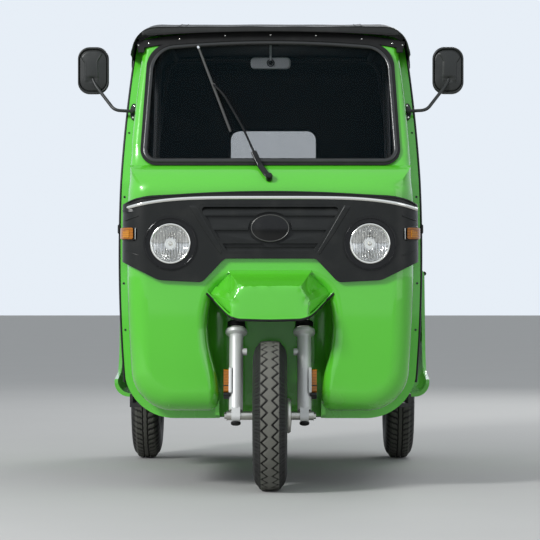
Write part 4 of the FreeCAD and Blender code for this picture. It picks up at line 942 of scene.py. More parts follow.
def dress(
    name: str,
    shape: Form | Mesh,
    finish: Finish,
    body: str = "body",
    replaces: tuple[str, ...] = (),
    shading: Shading = Shading.CREASED,
    bevel: float = 0.0,
) -> Object:
    """Put a shape on a body as a piece; a closed one gets its faces turned outwards.

    Args:
        name: The piece's name.
        shape: Its form or mesh.
        finish: Its finish.
        body: The body that it rides on.
        replaces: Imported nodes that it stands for.
        shading: How its normals run.
        bevel: Width of a bevel on its sharp edges, in metres.

    Returns:
        The new object.
    """
    mesh = shape.mesh(name) if isinstance(shape, Form) else shape
    with worked(mesh, 0.000004) as work:
        bmesh.ops.dissolve_degenerate(work, edges=work.edges, dist=0.000001)
        work.to_mesh(mesh)
        if closed(mesh):
            bmesh.ops.recalc_face_normals(work, faces=work.faces)
    piece = bpy.data.objects.new(name, mesh)
    bpy.context.scene.collection.objects.link(piece)
    mesh.materials.clear()
    mesh.materials.append(finish.material())
    mesh.polygons.foreach_set("use_smooth", np.ones(len(mesh.polygons), bool))
    if shading is Shading.CREASED:
        mesh.set_sharp_from_angle(angle=math.radians(shading.value))
    if bevel:
        cut = piece.modifiers.new("edge_round", "BEVEL")
        cut.width = bevel
        cut.segments = 5 if bevel > 0.008 else 2
        cut.limit_method = "ANGLE"
        cut.angle_limit = math.radians(BEVEL_FROM)
        cut.harden_normals = True
    if shading is Shading.CREASED:
        weigh = piece.modifiers.new("face_weight", "WEIGHTED_NORMAL")
        weigh.keep_sharp = True
        weigh.weight = 80
    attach(piece, body)
    if replaces:
        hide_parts(*replaces)
    LOG.info("piece %s: %d faces on %s", name, len(mesh.polygons), body)
    return piece


def unmarked(mesh: Mesh) -> Mesh:
    """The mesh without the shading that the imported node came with."""
    for key in ("sharp_face", "custom_normal"):
        if key in mesh.attributes:
            mesh.attributes.remove(mesh.attributes[key])
    return mesh


def refined(finish: Finish, *nodes: str, bevel: float = 0.0) -> None:
    """Stand merged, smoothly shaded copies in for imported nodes, with the same shapes.

    Args:
        finish: The copies' finish.
        nodes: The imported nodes; a copy has its node's name with "_finished".
        bevel: Width of a bevel on sharp edges, in metres.
    """
    for node in nodes:
        source = frame["nodes"][node]
        mesh = source.data.copy()
        with worked(mesh, NODE_MERGE) as work:
            flat = math.radians(0.6 if bevel else 0.05)
            bmesh.ops.dissolve_limit(work, angle_limit=flat, verts=work.verts, edges=work.edges)
        name = node + "_finished"
        dress(name, unmarked(mesh), finish, source["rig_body"], (node,), bevel=bevel)


def points_of(mesh: Mesh) -> Array:
    """A mesh's points as an array.

    Args:
        mesh: The mesh.

    Returns:
        Points, n by 3.
    """
    points = np.empty(len(mesh.vertices) * 3, np.float32)
    mesh.vertices.foreach_get("co", points)
    return points.reshape(-1, 3).astype(float)


def move_points(mesh: Mesh, points: Array) -> None:
    """Give a mesh's points new places."""
    mesh.vertices.foreach_set("co", points.astype(np.float32).ravel())


def eased(node: str, levels: Pair, sharp: float, passes: int, step: float) -> Mesh:
    """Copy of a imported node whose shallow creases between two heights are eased.

    Long edges there are halved until they are short. Then, again and again, each point goes
    part of the way to its neighbours' mean, by a mask that is full inside the two heights,
    falls to nothing over the last third at each, and is nothing at sharp edges.

    Args:
        node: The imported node.
        levels: Lower and upper height, in millimetres.
        sharp: Angle from which an edge keeps its place, in radians.
        passes: How often the points move.
        step: Length under which an edge isn't halved, in metres.

    Returns:
        The eased mesh.
    """
    mesh = frame["nodes"][node].data.copy()
    low, high = levels[0] * MM, levels[1] * MM
    with worked(mesh, NODE_MERGE) as work:
        for _ in range(8):
            long = [
                edge for edge in work.edges
                if edge.calc_length() > step
                and min(end.co.z for end in edge.verts) < high
                and max(end.co.z for end in edge.verts) > low
            ]
            if not long:
                break
            bmesh.ops.subdivide_edges(work, edges=long, cuts=1)
            bmesh.ops.triangulate(work, faces=[face for face in work.faces if len(face.verts) > 3])
        work.verts.index_update()
        bends = np.array([edge.calc_face_angle(3.0) > sharp for edge in work.edges])
        ends = np.array([[end.index for end in edge.verts] for edge in work.edges])
    points = points_of(mesh)
    pinned = np.bincount(ends[bends].ravel(), minlength=len(points)) > 0
    share = (points[:, 2] / MM - levels[0]) / (levels[1] - levels[0])
    mask = smoothed(share * 3) * smoothed((1 - share) * 3) * ~pinned
    count = np.bincount(ends.ravel(), minlength=len(points))[:, None]
    for _ in range(passes):
        total = np.zeros_like(points)
        np.add.at(total, ends[:, 0], points[ends[:, 1]])
        np.add.at(total, ends[:, 1], points[ends[:, 0]])
        points = points + 0.6 * mask[:, None] * (total / np.maximum(count, 1) - points)
    move_points(mesh, points)
    mesh.update()
    return unmarked(mesh)


def bolt(radius: float, height: float) -> Form:
    """Hexagon head on a round washer, standing along +Z from the origin.

    The head is a six-sided prism with a domed top, and the washer a thin ring under it.

    Args:
        radius: The head's radius, in metres.
        height: Its height with the washer.

    Returns:
        The bolt.
    """
    rim = [(0, 1.5), (0.2, 1.5), (0.2, 0)]
    washer = np.array([(0, 0), *rim]) * [height, radius]
    head = np.array([(0.2, 0), (0.2, 1), (0.9, 1), (1, 0.8), (1, 0)]) * [height, radius]
    return turned(washer, ORIGIN, UP, 16).joined(turned(head, ORIGIN, UP, 6))


def dome(radius: float, height: float, sides: int = 14) -> Form:
    """Round-headed rivet, standing along +Z from the origin.

    Args:
        radius: The head's radius, in metres.
        height: Its height.
        sides: Steps round it.

    Returns:
        The rivet.
    """
    angle = np.linspace(0, math.pi / 2, 5)
    profile = np.stack([np.sin(angle) * height, np.cos(angle) * radius], axis=1)
    return turned(np.concatenate([[(0, 0)], profile]), ORIGIN, UP, sides)


def standing(directions: Array) -> Array:
    """Rotation matrices that turn +Z to each direction.

    Args:
        directions: One direction, or n by 3.

    Returns:
        The matrices, n by 3 by 3.
    """
    up = unit(np.atleast_2d(np.asarray(directions, float)))
    helper = np.where(np.abs(up[:, 2:]) < 0.9, [[0.0, 0.0, 1.0]], [[1.0, 0.0, 0.0]])
    first = unit(np.cross(helper, up))
    return np.stack([first, np.cross(up, first), up], axis=-1)


# Stage
@dataclass
class Studio:
    """Camera where the photograph was taken from, pale floor, soft lamps."""

    camera_at: Triple = (0.064, -10.272, 0.757)
    lens: float = 184.9
    sensor: float = 36.0
    pitch_up: float = 0.33
    yaw_left: float = 0.36
    floor_half: float = 60.0
    floor_colour: Triple = (0.50, 0.50, 0.49)
    sky_colour: Triple = (0.80, 0.86, 0.93)

    def camera(self) -> None:
        """Make the camera and look along +Y."""
        data = bpy.data.cameras.new("camera")
        data.lens = self.lens
        data.sensor_width = self.sensor
        data.clip_end = 500.0
        made = bpy.data.objects.new("camera", data)
        made.location = Vector(self.camera_at) + Vector((0, FRONT_AXLE[1], 0))
        made.rotation_euler = (math.radians(90 + self.pitch_up), 0, math.radians(self.yaw_left))
        bpy.context.scene.collection.objects.link(made)
        bpy.context.scene.camera = made

    def floor(self) -> None:
        """Make the ground."""
        side = np.array([-self.floor_half, self.floor_half])
        across, behind = np.meshgrid(side, side, indexing="ij")
        plane = grid(np.stack([across, behind, np.zeros_like(across) - 0.0005], axis=-1))
        made = bpy.data.objects.new("floor", plane.mesh("floor"))
        bpy.context.scene.collection.objects.link(made)
        material, bench = new_material("studio_floor")
        cloud = bench.noise(1.5, 4.0)
        pale, deep = opaque(self.floor_colour), opaque(self.floor_colour, 0.94)
        bench.set(Base_Color=bench.mix(cloud, pale, deep), Roughness=0.85)
        made.data.materials.append(material)

    def world(self) -> None:
        """Make a pale sky that also lights the vehicle."""
        world = bpy.data.worlds.new("studio")
        bpy.context.scene.world = world
        world.use_nodes = True
        bench = Bench(world.node_tree)
        kinds = ("Camera", "Transmission", "Glossy")
        rays = [bench.node("ShaderNodeLightPath", out=f"Is {kind} Ray") for kind in kinds]
        shown = rays[0].at_least(rays[1]).at_least(rays[2])
        light = {"Color": (0.92, 0.96, 1.0, 1.0), "Strength": 0.52}
        seen = {"Color": opaque(self.sky_colour), "Strength": 1.0}
        either = [bench.node("ShaderNodeBackground", inputs=colour) for colour in (light, seen)]
        mixed = bench.node("ShaderNodeMixShader", inputs=dict(enumerate((shown, *either))))
        bench.close("ShaderNodeOutputWorld", mixed.socket)

    def lamp(self, name: str, at: Triple, size: float, power: float) -> None:
        """Make one square soft lamp that looks at the vehicle's middle.

        Args:
            name: The lamp's name.
            at: Its place in metres.
            size: Its side in metres.
            power: Its power in watts.
        """
        data = bpy.data.lights.new(name, "AREA")
        data.size = size
        data.energy = power
        made = bpy.data.objects.new(name, data)
        made.location = at
        aim = Vector((0, 0, 0.9)) - Vector(at)
        made.rotation_euler = aim.to_track_quat("-Z", "Y").to_euler()
        bpy.context.scene.collection.objects.link(made)

    def build(self) -> None:
        """Make the whole stage."""
        bpy.context.scene.view_settings.view_transform = "Standard"
        self.camera()
        self.floor()
        self.world()
        self.lamp("key", (-5.2, -6.0, 5.0), 1.8, 520.0)
        self.lamp("fill", (5.0, -6.0, 2.5), 4.0, 35.0)
        self.lamp("rear", (2.5, 7.0, 4.5), 3.0, 160.0)


# Surfaces of the cowl that several pieces lie on
@dataclass(frozen=True)
class CowlFace:
    """Where the cowl's surfaces are, in millimetres."""

    band_front: float = -18.0
    band_roll: float = 98.0
    band_flat: float = 454.0
    foot_behind: float = 75.0
    foot_up: float = 1208.0
    rake: float = 18.1
    half: float = 566.0
    side_radius: float = 5946.0
    widest_up: float = 878.5
    flange_back: float = 170.0
    knee_up: float = 1150.0

    def band(self, across: Array) -> Array:
        """Station of the black band's face: level, then a quarter circle at each end."""
        over = np.clip(np.abs(across) - self.band_flat, 0, self.band_roll * 0.999)
        return self.band_front + self.band_roll - np.sqrt(self.band_roll**2 - over**2)

    def screen(self, up: Array, ahead: float | Array = 0.0) -> Array:
        """Station of the windscreen's plane at a height, moved forward square to it."""
        lean = math.radians(self.rake)
        return self.foot_behind + (up - self.foot_up) * math.tan(lean) - ahead / math.cos(lean)

    def edge(self, up: Array) -> Array:
        """Half-width of the flange at a height: a large arc about the widest height."""
        reach = np.sqrt(self.side_radius**2 - (up - self.widest_up) ** 2)
        return self.half - self.side_radius + reach

    def flange(self, up: Array) -> Array:
        """Station of the flange's middle at a height: upright, then along the windscreen."""
        lean = math.radians(self.rake)
        return self.flange_back + np.maximum(0, up - self.knee_up) * math.tan(lean)

    def outwards(self) -> Array:
        """Direction square to the windscreen, forwards and up."""
        lean = math.radians(self.rake)
        return np.array([0.0, -math.cos(lean), math.sin(lean)])


FACE = CowlFace()


def plate(outline: Array, low: float, high: float, edge: float = 1.0) -> Form:
    """Flat plate in a plane, with a bevelled front edge.

    Args:
        outline: Points of its edge as (u, v), anticlockwise, in millimetres.
        low: Height of its back over the plane.
        high: Height of its front.
        edge: Width of the bevel.

    Returns:
        The plate, as rings of the outline drawn in by the bevel, in millimetres (u, v, height).
    """
    middle = outline.mean(axis=0)
    reach = np.linalg.norm(outline - middle, axis=1, keepdims=True)
    inner = middle + (outline - middle) * (1 - edge / np.maximum(reach, edge * 2))
    levels = ((outline, low), (outline, high - edge), (inner, high))
    rings = np.stack([np.column_stack([o, np.full(len(o), h)]) for o, h in levels])
    skin = grid(rings, False, True)
    return skin.joined(fan(rings[0], False), fan(rings[-1], True))


def onto(form: Form, behind: float) -> Form:
    """A plate in millimetres (across, up, height) stood upright, its height forwards.

    Its points become (across, behind - height, up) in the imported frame.
    """
    across, up, height = form.points.T
    return form.over(spots(across, behind - height, up))


def oval(centre: Pair, half: Pair, steps: int = 48) -> Array:
    """Oval outline, anticlockwise, in millimetres."""
    angle = np.arange(steps) * math.tau / steps
    return np.stack([np.cos(angle), np.sin(angle)], axis=1) * half + centre


def lathe(profile: list[Pair], centre: Array, axis: Array, sides: int = 48) -> Form:
    """Closed turned form from a profile of (along, radius) in millimetres.

    A profile that keeps off the axis is closed to a ring section, and one that reaches the axis
    gets its open end brought to the axis.

    Args:
        profile: (along, radius) of its points, in millimetres.
        centre: The axis's origin, in metres.
        axis: The axis's direction.
        sides: Steps round the axis.

    Returns:
        The form.
    """
    points = np.array(profile, float) * MM
    if points[:, 1].min() > 0:
        points = np.concatenate([points, points[:1]])
    else:
        first, last = ([end * [1.0, 0.0]] if end[1] > 0 else [] for end in (points[0], points[-1]))
        points = np.array([*first, *points, *last])
    return turned(points, centre, axis, sides)


def ring_section(along: float, radius: float, half: Pair, steps: int = 8) -> list[Pair]:
    """Closed oval section of a ring, as a profile for lathe.

    Args:
        along: The section's middle along the axis, in millimetres.
        radius: The middle's distance from the axis.
        half: Its half sizes along the axis and away from it.
        steps: Points round it.

    Returns:
        (along, radius) of its points, the first one again at the end.
    """
    angle = np.linspace(0, math.tau, steps + 1)
    return list(zip(along - half[0] * np.cos(angle), radius + half[1] * np.sin(angle)))


# The front
@dataclass
class Cowl:
    """Front panel, its flange, the wheel well and what is fastened to them."""

    bead: float = 5.2
    bolt_heights: tuple[float, ...] = (1092.0, 1336.0, 767.0, 592.0)
    knob_height: float = 971.0
    sharp: float = 0.60

    def beading(self) -> Form:
        """Rubber bead slipped over the flange's outer edge, from the canopy down.

        Returns:
            The bead on both sides.
        """
        up = np.linspace(395, 1700, 110)
        path = spots(FACE.edge(up) + 1.0, FACE.flange(up), up)
        return swept(path, ring_profile(self.bead * MM, 12, 1.7), BACKWARD).both()

    def bolts(self) -> Form:
        """Small bolts on the flange.

        Returns:
            The bolts on both sides.
        """
        up = np.array(self.bolt_heights)
        places = spots(FACE.edge(up) - 13, FACE.flange(up) - 7, up)
        turns = standing(FORWARD)
        return bolt(0.0028, 0.0035).copies(turns, places).both()

    def knobs(self) -> Form:
        """Rubber buffers outside the flange: a bar whose radius falls away at both ends.

        Returns:
            The buffers on both sides.
        """
        along = np.linspace(-19, 19, 13)
        radius = 6.8 * np.sqrt(np.clip(1 - (along / 19.2) ** 6, 0, 1))
        profile = [(-19.2, 0.0), *list(zip(along, radius))[1:-1], (19.2, 0.0)]
        return lathe(profile, spot(568.5, 166, self.knob_height), UP, 16).both()

    def seams(self) -> Form:
        """Black line that paints the shade in the step where the pillar's pressing meets the
        flange.

        Returns:
            The lines on both sides.
        """
        up = np.linspace(1022, 1148, 24)
        path = spots(FACE.edge(up) - 32.5, FACE.flange(up) - 8.5, up)
        return tube(path, 0.0014, 6).both()

    def pressings(self) -> Form:
        """Long raised rib up each windscreen pillar, between its rubber and the flange.

        Returns:
            The ribs on both sides.
        """
        up = np.linspace(1235, 1640, 60)
        share = (up - up[0]) / (up[-1] - up[0])
        rise = 3.2 * smoothed(share / 0.08) * smoothed((1 - share) / 0.08) - 1.0
        across = FACE.edge(up) - 33
        path = spots(across, FACE.flange(up) - 7 - rise * 0.2, up)
        return swept(path, ring_profile(0.0042, 10, 0.8), FACE.outwards()).both()

    def build(self) -> None:
        """Dress the cowl."""
        panel = eased("front_cowl", (1112.0, 1290.0), self.sharp, 60, 0.020)
        dress("front_cowl_finished", panel, GREEN, "body", ("front_cowl",))
        refined(GREEN, "wheel_arch")
        dress("flange_beading", self.beading(), BEAD_RUBBER)
        dress("flange_bolts", self.bolts(), FRAME_BLACK)
        dress("flange_buffers", self.knobs(), SOFT_RUBBER)
        # Thin black tubes laid in the flange's step as painted shade.
        dress("pillar_step_shade", self.seams(), BEAD_RUBBER)
        dress("pillar_ribs", self.pressings(), GREEN)


@dataclass
class Nose:
    """Black band with its grille, bright strip, indicators and blank oval boss."""

    strip_high: float = 13.0
    boss: Pair = (70.7, 50.4)
    boss_up: float = 971.0
    beak_low: float = 637.0

    def strip_up(self, across: Array) -> Array:
        """Height of the bright strip: 1084 less a fourth power towards its ends."""
        return 1084 - 38 * (np.abs(across) / 532) ** 4.2

    def lip_up(self, across: Array) -> Array:
        """Height of the band's top edge: a slow parabola with a rounded drop at each end."""
        drop = 20 * np.maximum(0, (np.abs(across) - 470) / 78) ** 2
        return 1105.5 - across**2 / 10000 - drop

    def on_band(self, across: Array, up: Array, proud: float) -> Array:
        """Points over the band's face, in metres."""
        return spots(across, FACE.band(across) - proud, up)

    def facing(self, across: Array) -> Array:
        """Directions square to the band's face.

        Args:
            across: Distances from the middle, in millimetres.

        Returns:
            Unit directions, n by 3.
        """
        over = np.clip((np.abs(across) - FACE.band_flat) / FACE.band_roll, 0, 0.98)
        over = over * np.sign(across)
        return np.stack([over, -np.sqrt(1 - over**2), np.zeros_like(over)], axis=-1)

    def strip(self) -> Form:
        """Bright strip: a half-round section along the band.

        Returns:
            The strip.
        """
        across = np.linspace(-546, 546, 161)
        path = self.on_band(across, self.strip_up(across), 1.0)
        return swept(path, ring_profile(self.strip_high / 2 * MM, 18, 0.62), self.facing(across))

    def lip(self) -> Form:
        """Thin rolled edge along the top of the band.

        Returns:
            The edge.
        """
        across = np.linspace(-545, 545, 141)
        path = self.on_band(across, self.lip_up(across), 0.5)
        return swept(path, ring_profile(0.0032, 10, 0.9), self.facing(across))

    def cheeks(self) -> Form:
        """Raised cheek on each side of the grille, between a groove and the opening.

        Its surface runs from the groove's line to the opening's line, and its height is a
        plateau with smooth edges.

        Returns:
            Both cheeks.
        """
        down = np.linspace(0, 1, 30)
        outer_x = np.interp(down, [0, 0.55, 1], [-303, -241, -181])
        outer_z = np.interp(down, [0, 0.55, 1], [1056, 954, 869])
        inner_x = np.interp(down, [0, 1], [-275, -172])
        inner_z = np.interp(down, [0, 1], [1056, 878])
        share = np.linspace(0, 1, 13)
        x = outer_x[:, None] * (1 - share) + inner_x[:, None] * share
        z = outer_z[:, None] * (1 - share) + inner_z[:, None] * share
        edge = np.minimum(share / 0.12, (1 - share) / 0.12)[None]
        ends = np.minimum(down / 0.03, (1 - down) / 0.03)[:, None]
        height = 2.4 * smoothed(np.minimum(edge, ends)) - 0.6
        points = spots(x, FACE.band_front - height, z)
        return grid(points).both()

    def creases(self) -> Form:
        """Two fine ribs over and under the indicator at each end of the band.

        Returns:
            The ribs at both ends.
        """
        across = np.linspace(-541, -489, 20)
        high = np.interp(across, [-537, -487], [1001, 1017])
        low = np.interp(across, [-537, -487], [887, 870])
        upper = swept(self.on_band(across, high, 0.2), ring_profile(0.0022, 8), self.facing(across))
        lower = swept(self.on_band(across, low, 0.2), ring_profile(0.0022, 8), self.facing(across))
        return upper.joined(lower).both()

    def indicator_frames(self) -> Form:
        """Frame round each indicator lens, laid on the rounded end of the band.

        Returns:
            Both frames.
        """
        corners = [(-550, 928, 8), (-500, 928, 8), (-500, 972, 8), (-548, 975, 8)]
        loop = evened(rounded_loop(corners, 6), 90, True)
        path = self.on_band(loop[:, 0], loop[:, 1], 3.0)
        return swept(path, ring_profile(0.0036, 10, 1.3), self.facing(loop[:, 0]), True).both()

    def indicator_edges(self) -> Form:
        """Thin bright edge at the inner side of each indicator.

        Returns:
            Both edges.
        """
        up = np.linspace(930, 971, 12)
        path = self.on_band(-499.0, up, 7.5)
        return swept(path, ring_profile(0.0013, 8), self.facing(-499.0)).both()

    def indicator_cores(self) -> Form:
        """Brighter block in the middle of each indicator lens, with a slanting top.

        Returns:
            Both blocks.
        """
        outline = rounded_loop([(-541, 934, 4), (-516, 934, 4), (-516, 966, 4), (-541, 961, 4)], 4)
        block = plate(outline, 0, 1, 2)
        across = block.points[:, 0]
        points = self.on_band(across, block.points[:, 1], 0) + self.facing(across) * (
            (6 + block.points[:, 2:] * 4) * MM
        )
        return block.over(points).both()

    def boss_form(self) -> Form:
        """Blank oval boss: a shallow dome over an oval, as rings drawn in to its middle.

        Returns:
            The boss.
        """
        share = np.linspace(0.985, 0.0, 14)[:, None, None]
        rim = oval((0.0, 0.0), self.boss, 72)[None]
        rings = rim * share
        height = 3.0 + 5.0 * (1 - share[..., 0] ** 2) + 0 * rings[..., 0]
        points = spots(rings[..., 0], FACE.band_front - height, self.boss_up + rings[..., 1])
        return grid(points, False, True).flipped()

    def boss_rim(self) -> Form:
        """Thin light rim round the boss.

        Returns:
            The rim.
        """
        edge = oval((0.0, self.boss_up), (self.boss[0] - 1.5, self.boss[1] - 1.5), 96)
        path = spots(edge[:, 0], FACE.band_front - 3.4, edge[:, 1])
        return swept(path, ring_profile(0.0019, 8), FORWARD, True)

    def screws(self) -> Form:
        """Small bright screws at the strip's ends."""
        place = self.on_band(544.0, 1043.0, 3.0)
        return dome(0.0042, 0.0028, 12).copies(standing(self.facing(544.0)), place).both()

    def beak_edge(self, drop: float) -> Array:
        """Path along the beak's lower edge, moved down by a distance.

        Seen from the front it is level, then rises at each side to the cowl; its station goes
        back in a straight line outside the flat front.

        Args:
            drop: The distance, in millimetres.

        Returns:
            Points in metres.
        """
        corners = [(-236, 737), (-140, 641), (0, self.beak_low), (140, 641), (236, 737)]
        route = evened(arc_route(corners, 38.0, 12), 150)
        across, up = route[:, 0], route[:, 1]
        behind = -120 + np.maximum(0, np.abs(across) - 138) * 160 / 88
        return spots(across, np.minimum(behind, 6.0), up - drop)

    def build(self) -> None:
        """Dress the nose."""
        refined(BLACK_PLASTIC, "grille_band")
        refined(BLACK_PLASTIC, "grille_insert", bevel=0.001)
        beak = eased("fork_cowl", (560.0, 830.0), 1.12, 30, 0.009)
        dress("fork_cowl_finished", beak, GREEN, "body", ("fork_cowl",))
        refined(AMBER, "indicator_lamps")
        dress("nose_strip", self.strip(), POLISHED)
        dress("band_lip", self.lip(), BLACK_PLASTIC)
        dress("grille_cheeks", self.cheeks(), BLACK_PLASTIC)
        dress("band_creases", self.creases(), BLACK_PLASTIC)
        dress("indicator_frames", self.indicator_frames(), GLOSS_BLACK)
        dress("indicator_edges", self.indicator_edges(), POLISHED)
        dress("indicator_cores", self.indicator_cores(), AMBER_CORE)
        dress("nose_boss", self.boss_form(), GLOSS_BLACK)
        dress("nose_boss_rim", self.boss_rim(), BRUSHED)
        dress("band_screws", self.screws(), ZINC)
        dress("beak_lip", tube(self.beak_edge(1.0), 0.0036, 10), GREEN)
        trim = swept(self.beak_edge(7.0), ring_profile(0.0048, 10, 1.2), FORWARD)
        dress("beak_trim", trim, BEAD_RUBBER)


@dataclass
class Headlamps:
    """Chrome rims, fluted bowls, bulb caps and lenses of the two lamps."""

    across: float = 369.5
    up: float = 914.0
    bowl: float = 70.0
    flute: float = 11.0

    def centre(self) -> Array:
        """Middle of the right lamp at the nose's face."""
        return spot(self.across, 0, self.up)

    def rim(self) -> Form:
        """Chrome ring with a rounded front, as a turned section."""
        return lathe(ring_section(-16, 71.5, (6, 5), 16), self.centre(), BACKWARD, 96).both()

    def bezel_bead(self) -> Form:
        """Fine bead on the black bezel's face, which holds the light as a ring."""
        return lathe(ring_section(-24.2, 94, (1.6, 1.6)), self.centre(), BACKWARD, 96).both()

    def bowl_form(self) -> Form:
        """Reflector: a parabola of turning whose depth is waved by upright flutes.

        Returns:
            One reflector.
        """
        radius = np.linspace(self.bowl, 10, 46)[:, None]
        angle = (np.arange(144) * math.tau / 144)[None]
        across, up = radius * np.cos(angle), radius * np.sin(angle)
        fade = smoothed((radius - 16) / 12) * smoothed((self.bowl - radius) / 5)
        wave = np.abs(np.sin(across * math.pi / self.flute)) * 5.0 * fade
        depth = -6 + 46 * (1 - (radius / self.bowl) ** 2) + wave
        points = spots(self.across + across, depth, self.up + up)
        return grid(points, False, True).flipped().both()

    def cap(self) -> Form:
        """Bulb's shield: a rim, a groove and a domed middle, on a stem from the bowl."""
        profile = [
            (42, 8), (12, 8), (9, 21), (4, 21), (2, 19.5), (2, 15), (6, 14), (6, 8.5), (1.5, 7.5),
            (-1.5, 5), (-2.5, 0.0),
        ]
        return lathe(profile[::-1], self.centre(), BACKWARD, 40).both()

    def lens(self) -> Form:
        """Domed glass: front and back are paraboloids, the front lightly fluted.

        Returns:
            One glass.
        """
        radius = np.linspace(0.2, 75, 26)[:, None]
        angle = (np.arange(96) * math.tau / 96)[None]
        across, up = radius * np.cos(angle), radius * np.sin(angle)
        wave = 0.35 * np.cos(across * math.tau / 7.0) * smoothed((66 - radius) / 6)
        front = -22 + 11 * (radius / 75) ** 2 + wave
        outer = spots(self.across + across, front, self.up + up)
        inner = spots(self.across + across, front + 3, self.up + up)
        both = np.concatenate([outer, inner[::-1]])
        return grid(both, True, True).flipped().both()

    def build(self) -> None:
        """Dress the lamps."""
        refined(GLOSS_BLACK, "headlamp_housings")
        dress("headlamp_glass", self.lens(), LAMP_GLASS, "body", ("headlamp_lenses",))
        dress("headlamp_rims", self.rim(), POLISHED)
        dress("headlamp_beads", self.bezel_bead(), GLOSS_BLACK)
        dress("headlamp_bowls", self.bowl_form(), REFLECTOR)
        dress("headlamp_caps", self.cap(), POLISHED)


@dataclass
class Windscreen:
    """Glass, two-part rubber, wiper, interior mirror and the riveted strip under the canopy."""

    low_half: float = 489.0
    top_half: float = 462.0
    top_up: float = 1670.0
    joint: Pair = (-214.0, 1514.0)

    def outline(self, inset: float, count: int = 320) -> Array:
        """Outline of the rubber seen from the front, drawn in by an inset.

        It is a four-cornered loop with round corners whose top run is lifted by a parabola.

        Args:
            inset: The inset, in millimetres.
            count: How many points it has.

        Returns:
            Points as (across, up).
        """
        low, top = self.low_half - inset, self.top_half - inset
        foot, head = 1208 + inset, self.top_up - inset
        small, large = 60 - inset, 100 - inset
        corners = [(-low, foot, small), (low, foot, small), (top, head, large), (-top, head, large)]
        loop = evened(rounded_loop(corners, 12), count, True)
        arch = (self.top_half**2 - loop[:, 0] ** 2) / 8000 * smoothed((loop[:, 1] - 1560) / 100)
        return loop + np.column_stack([np.zeros(count), np.maximum(arch, 0)])

    def on_screen(self, across: Array, up: Array, ahead: float | Array) -> Array:
        """Points before the windscreen's plane, in metres."""
        return spots(across, FACE.screen(up, ahead), up)

    def ridge(self) -> Form:
        """Satin insert of the rubber, over its inner two thirds.

        Returns:
            The insert.
        """
        loop = self.outline(17.0)
        path = self.on_screen(loop[:, 0], loop[:, 1], 9.0)
        profile = ring_profile(0.0078, 16, 0.62)
        return swept(path, profile, FACE.outwards(), True)

    def strip_up(self, across: Array) -> Array:
        """Height of the rivets' line under the canopy's lip."""
        return 1709 - 42 * (np.abs(across) / 507) ** 2.5

    def visor(self) -> Form:
        """Rubber strip under the lip: a flat section with round edges along the header.

        Returns:
            The strip.
        """
        across = np.linspace(-506, 506, 101)
        path = self.on_screen(across, self.strip_up(across), 4.0)
        section = round_box((-16, -3.8), (16, 3.8), 3) * MM
        return swept(path, section, FACE.outwards())

    def tabs(self) -> Form:
        """Square tab at each end of the strip.

        Returns:
            Both tabs.
        """
        outline = round_box((-12, -14), (12, 14), 3)
        tab = plate(outline, 0, 7, 1.2)
        turn = np.stack([RIGHT, -np.cross(RIGHT, FACE.outwards()), FACE.outwards()], axis=1)
        at = self.on_screen(489.0, 1652.0, 1.0)
        return tab.placed(turn, at).both()

    def rivets(self) -> Form:
        """Bright rivets through the strip.

        Returns:
            The rivets.
        """
        across = np.array([0.0, 172, -172, 345, -345, 461, -461, 500, -500])
        up = self.strip_up(across)
        places = self.on_screen(across, up, 7.4)
        turns = standing(FACE.outwards())
        return dome(0.0040, 0.0030, 16).copies(turns, places)

    def wiper_arm(self) -> Form:
        """Wiper arm: a thin rod from the blade's joint and a thick flat foot over its spindle.

        Returns:
            The arm with its foot.
        """
        across = np.array([self.joint[0], -176, -99, -58])
        up = np.array([self.joint[1], 1478, 1342, 1250])
        ahead = np.array([24.0, 27, 26, 24])
        rod = tube(arc_route(self.on_screen(across, up, ahead), 0.03, 8), 0.0042, 10)
        foot_x = np.array([-62.0, -38, -16, -4])
        foot_z = np.array([1258.0, 1206, 1174, 1162])
        foot_y = np.array([FACE.screen(1258.0, 24), FACE.screen(1206.0, 28), 8.0, 2.0])
        foot = swept(
            evened(spots(foot_x, foot_y, foot_z), 24),
            rounded_loop([(-13, -5, 4), (13, -5, 4), (11, 6, 4), (-11, 6, 4)], 4) * MM * 0.9,
            np.array([0, -0.9, 0.45]),
        )
        lean = np.array([0, -0.75, 0.66])
        cap = lathe([(-8, 12), (10, 14), (17, 11), (19, 0)], spot(-4, 6, 1158), lean, 20)
        return rod.joined(foot, cap)

    def blade(self) -> tuple[Form, Form, Form]:
        """The blade's sprung bar with its claws, its rubber, and its pale tip.

        Returns:
            The bar, the rubber and the tip.
        """
        share = np.linspace(0, 1, 60)
        across = -271 + share * 122
        up = 1656 - share * 321
        bow = 15 - 9 * (2 * share - 1) ** 2
        bar = swept(self.on_screen(across, up, bow), ring_profile(0.0042, 8, 0.45), FACE.outwards())
        claw = lathe([(-4, 5), (4, 5)], ORIGIN, RIGHT, 8)
        held = [8, 22, 36, 50]
        places = self.on_screen(across[held], up[held], bow[held] - 3)
        bar = bar.joined(claw.copies(np.eye(3), places))
        link = tube(self.on_screen(-213.0, 1514.0, np.linspace(26, 12, 4)), 0.006, 10)
        path = self.on_screen(across, up, 4.6)
        rubber = swept(path, ring_profile(0.0052, 8, 0.7), FACE.outwards())
        end = self.on_screen(-273.0, 1661.0, 7.0)
        along = np.array([-0.36, 0.3, 0.9])
        tip = lathe([(-7, 0), (-6, 4.5), (5, 5.5), (8, 3), (9, 0)], end, along, 12)
        return bar.joined(link), rubber, tip

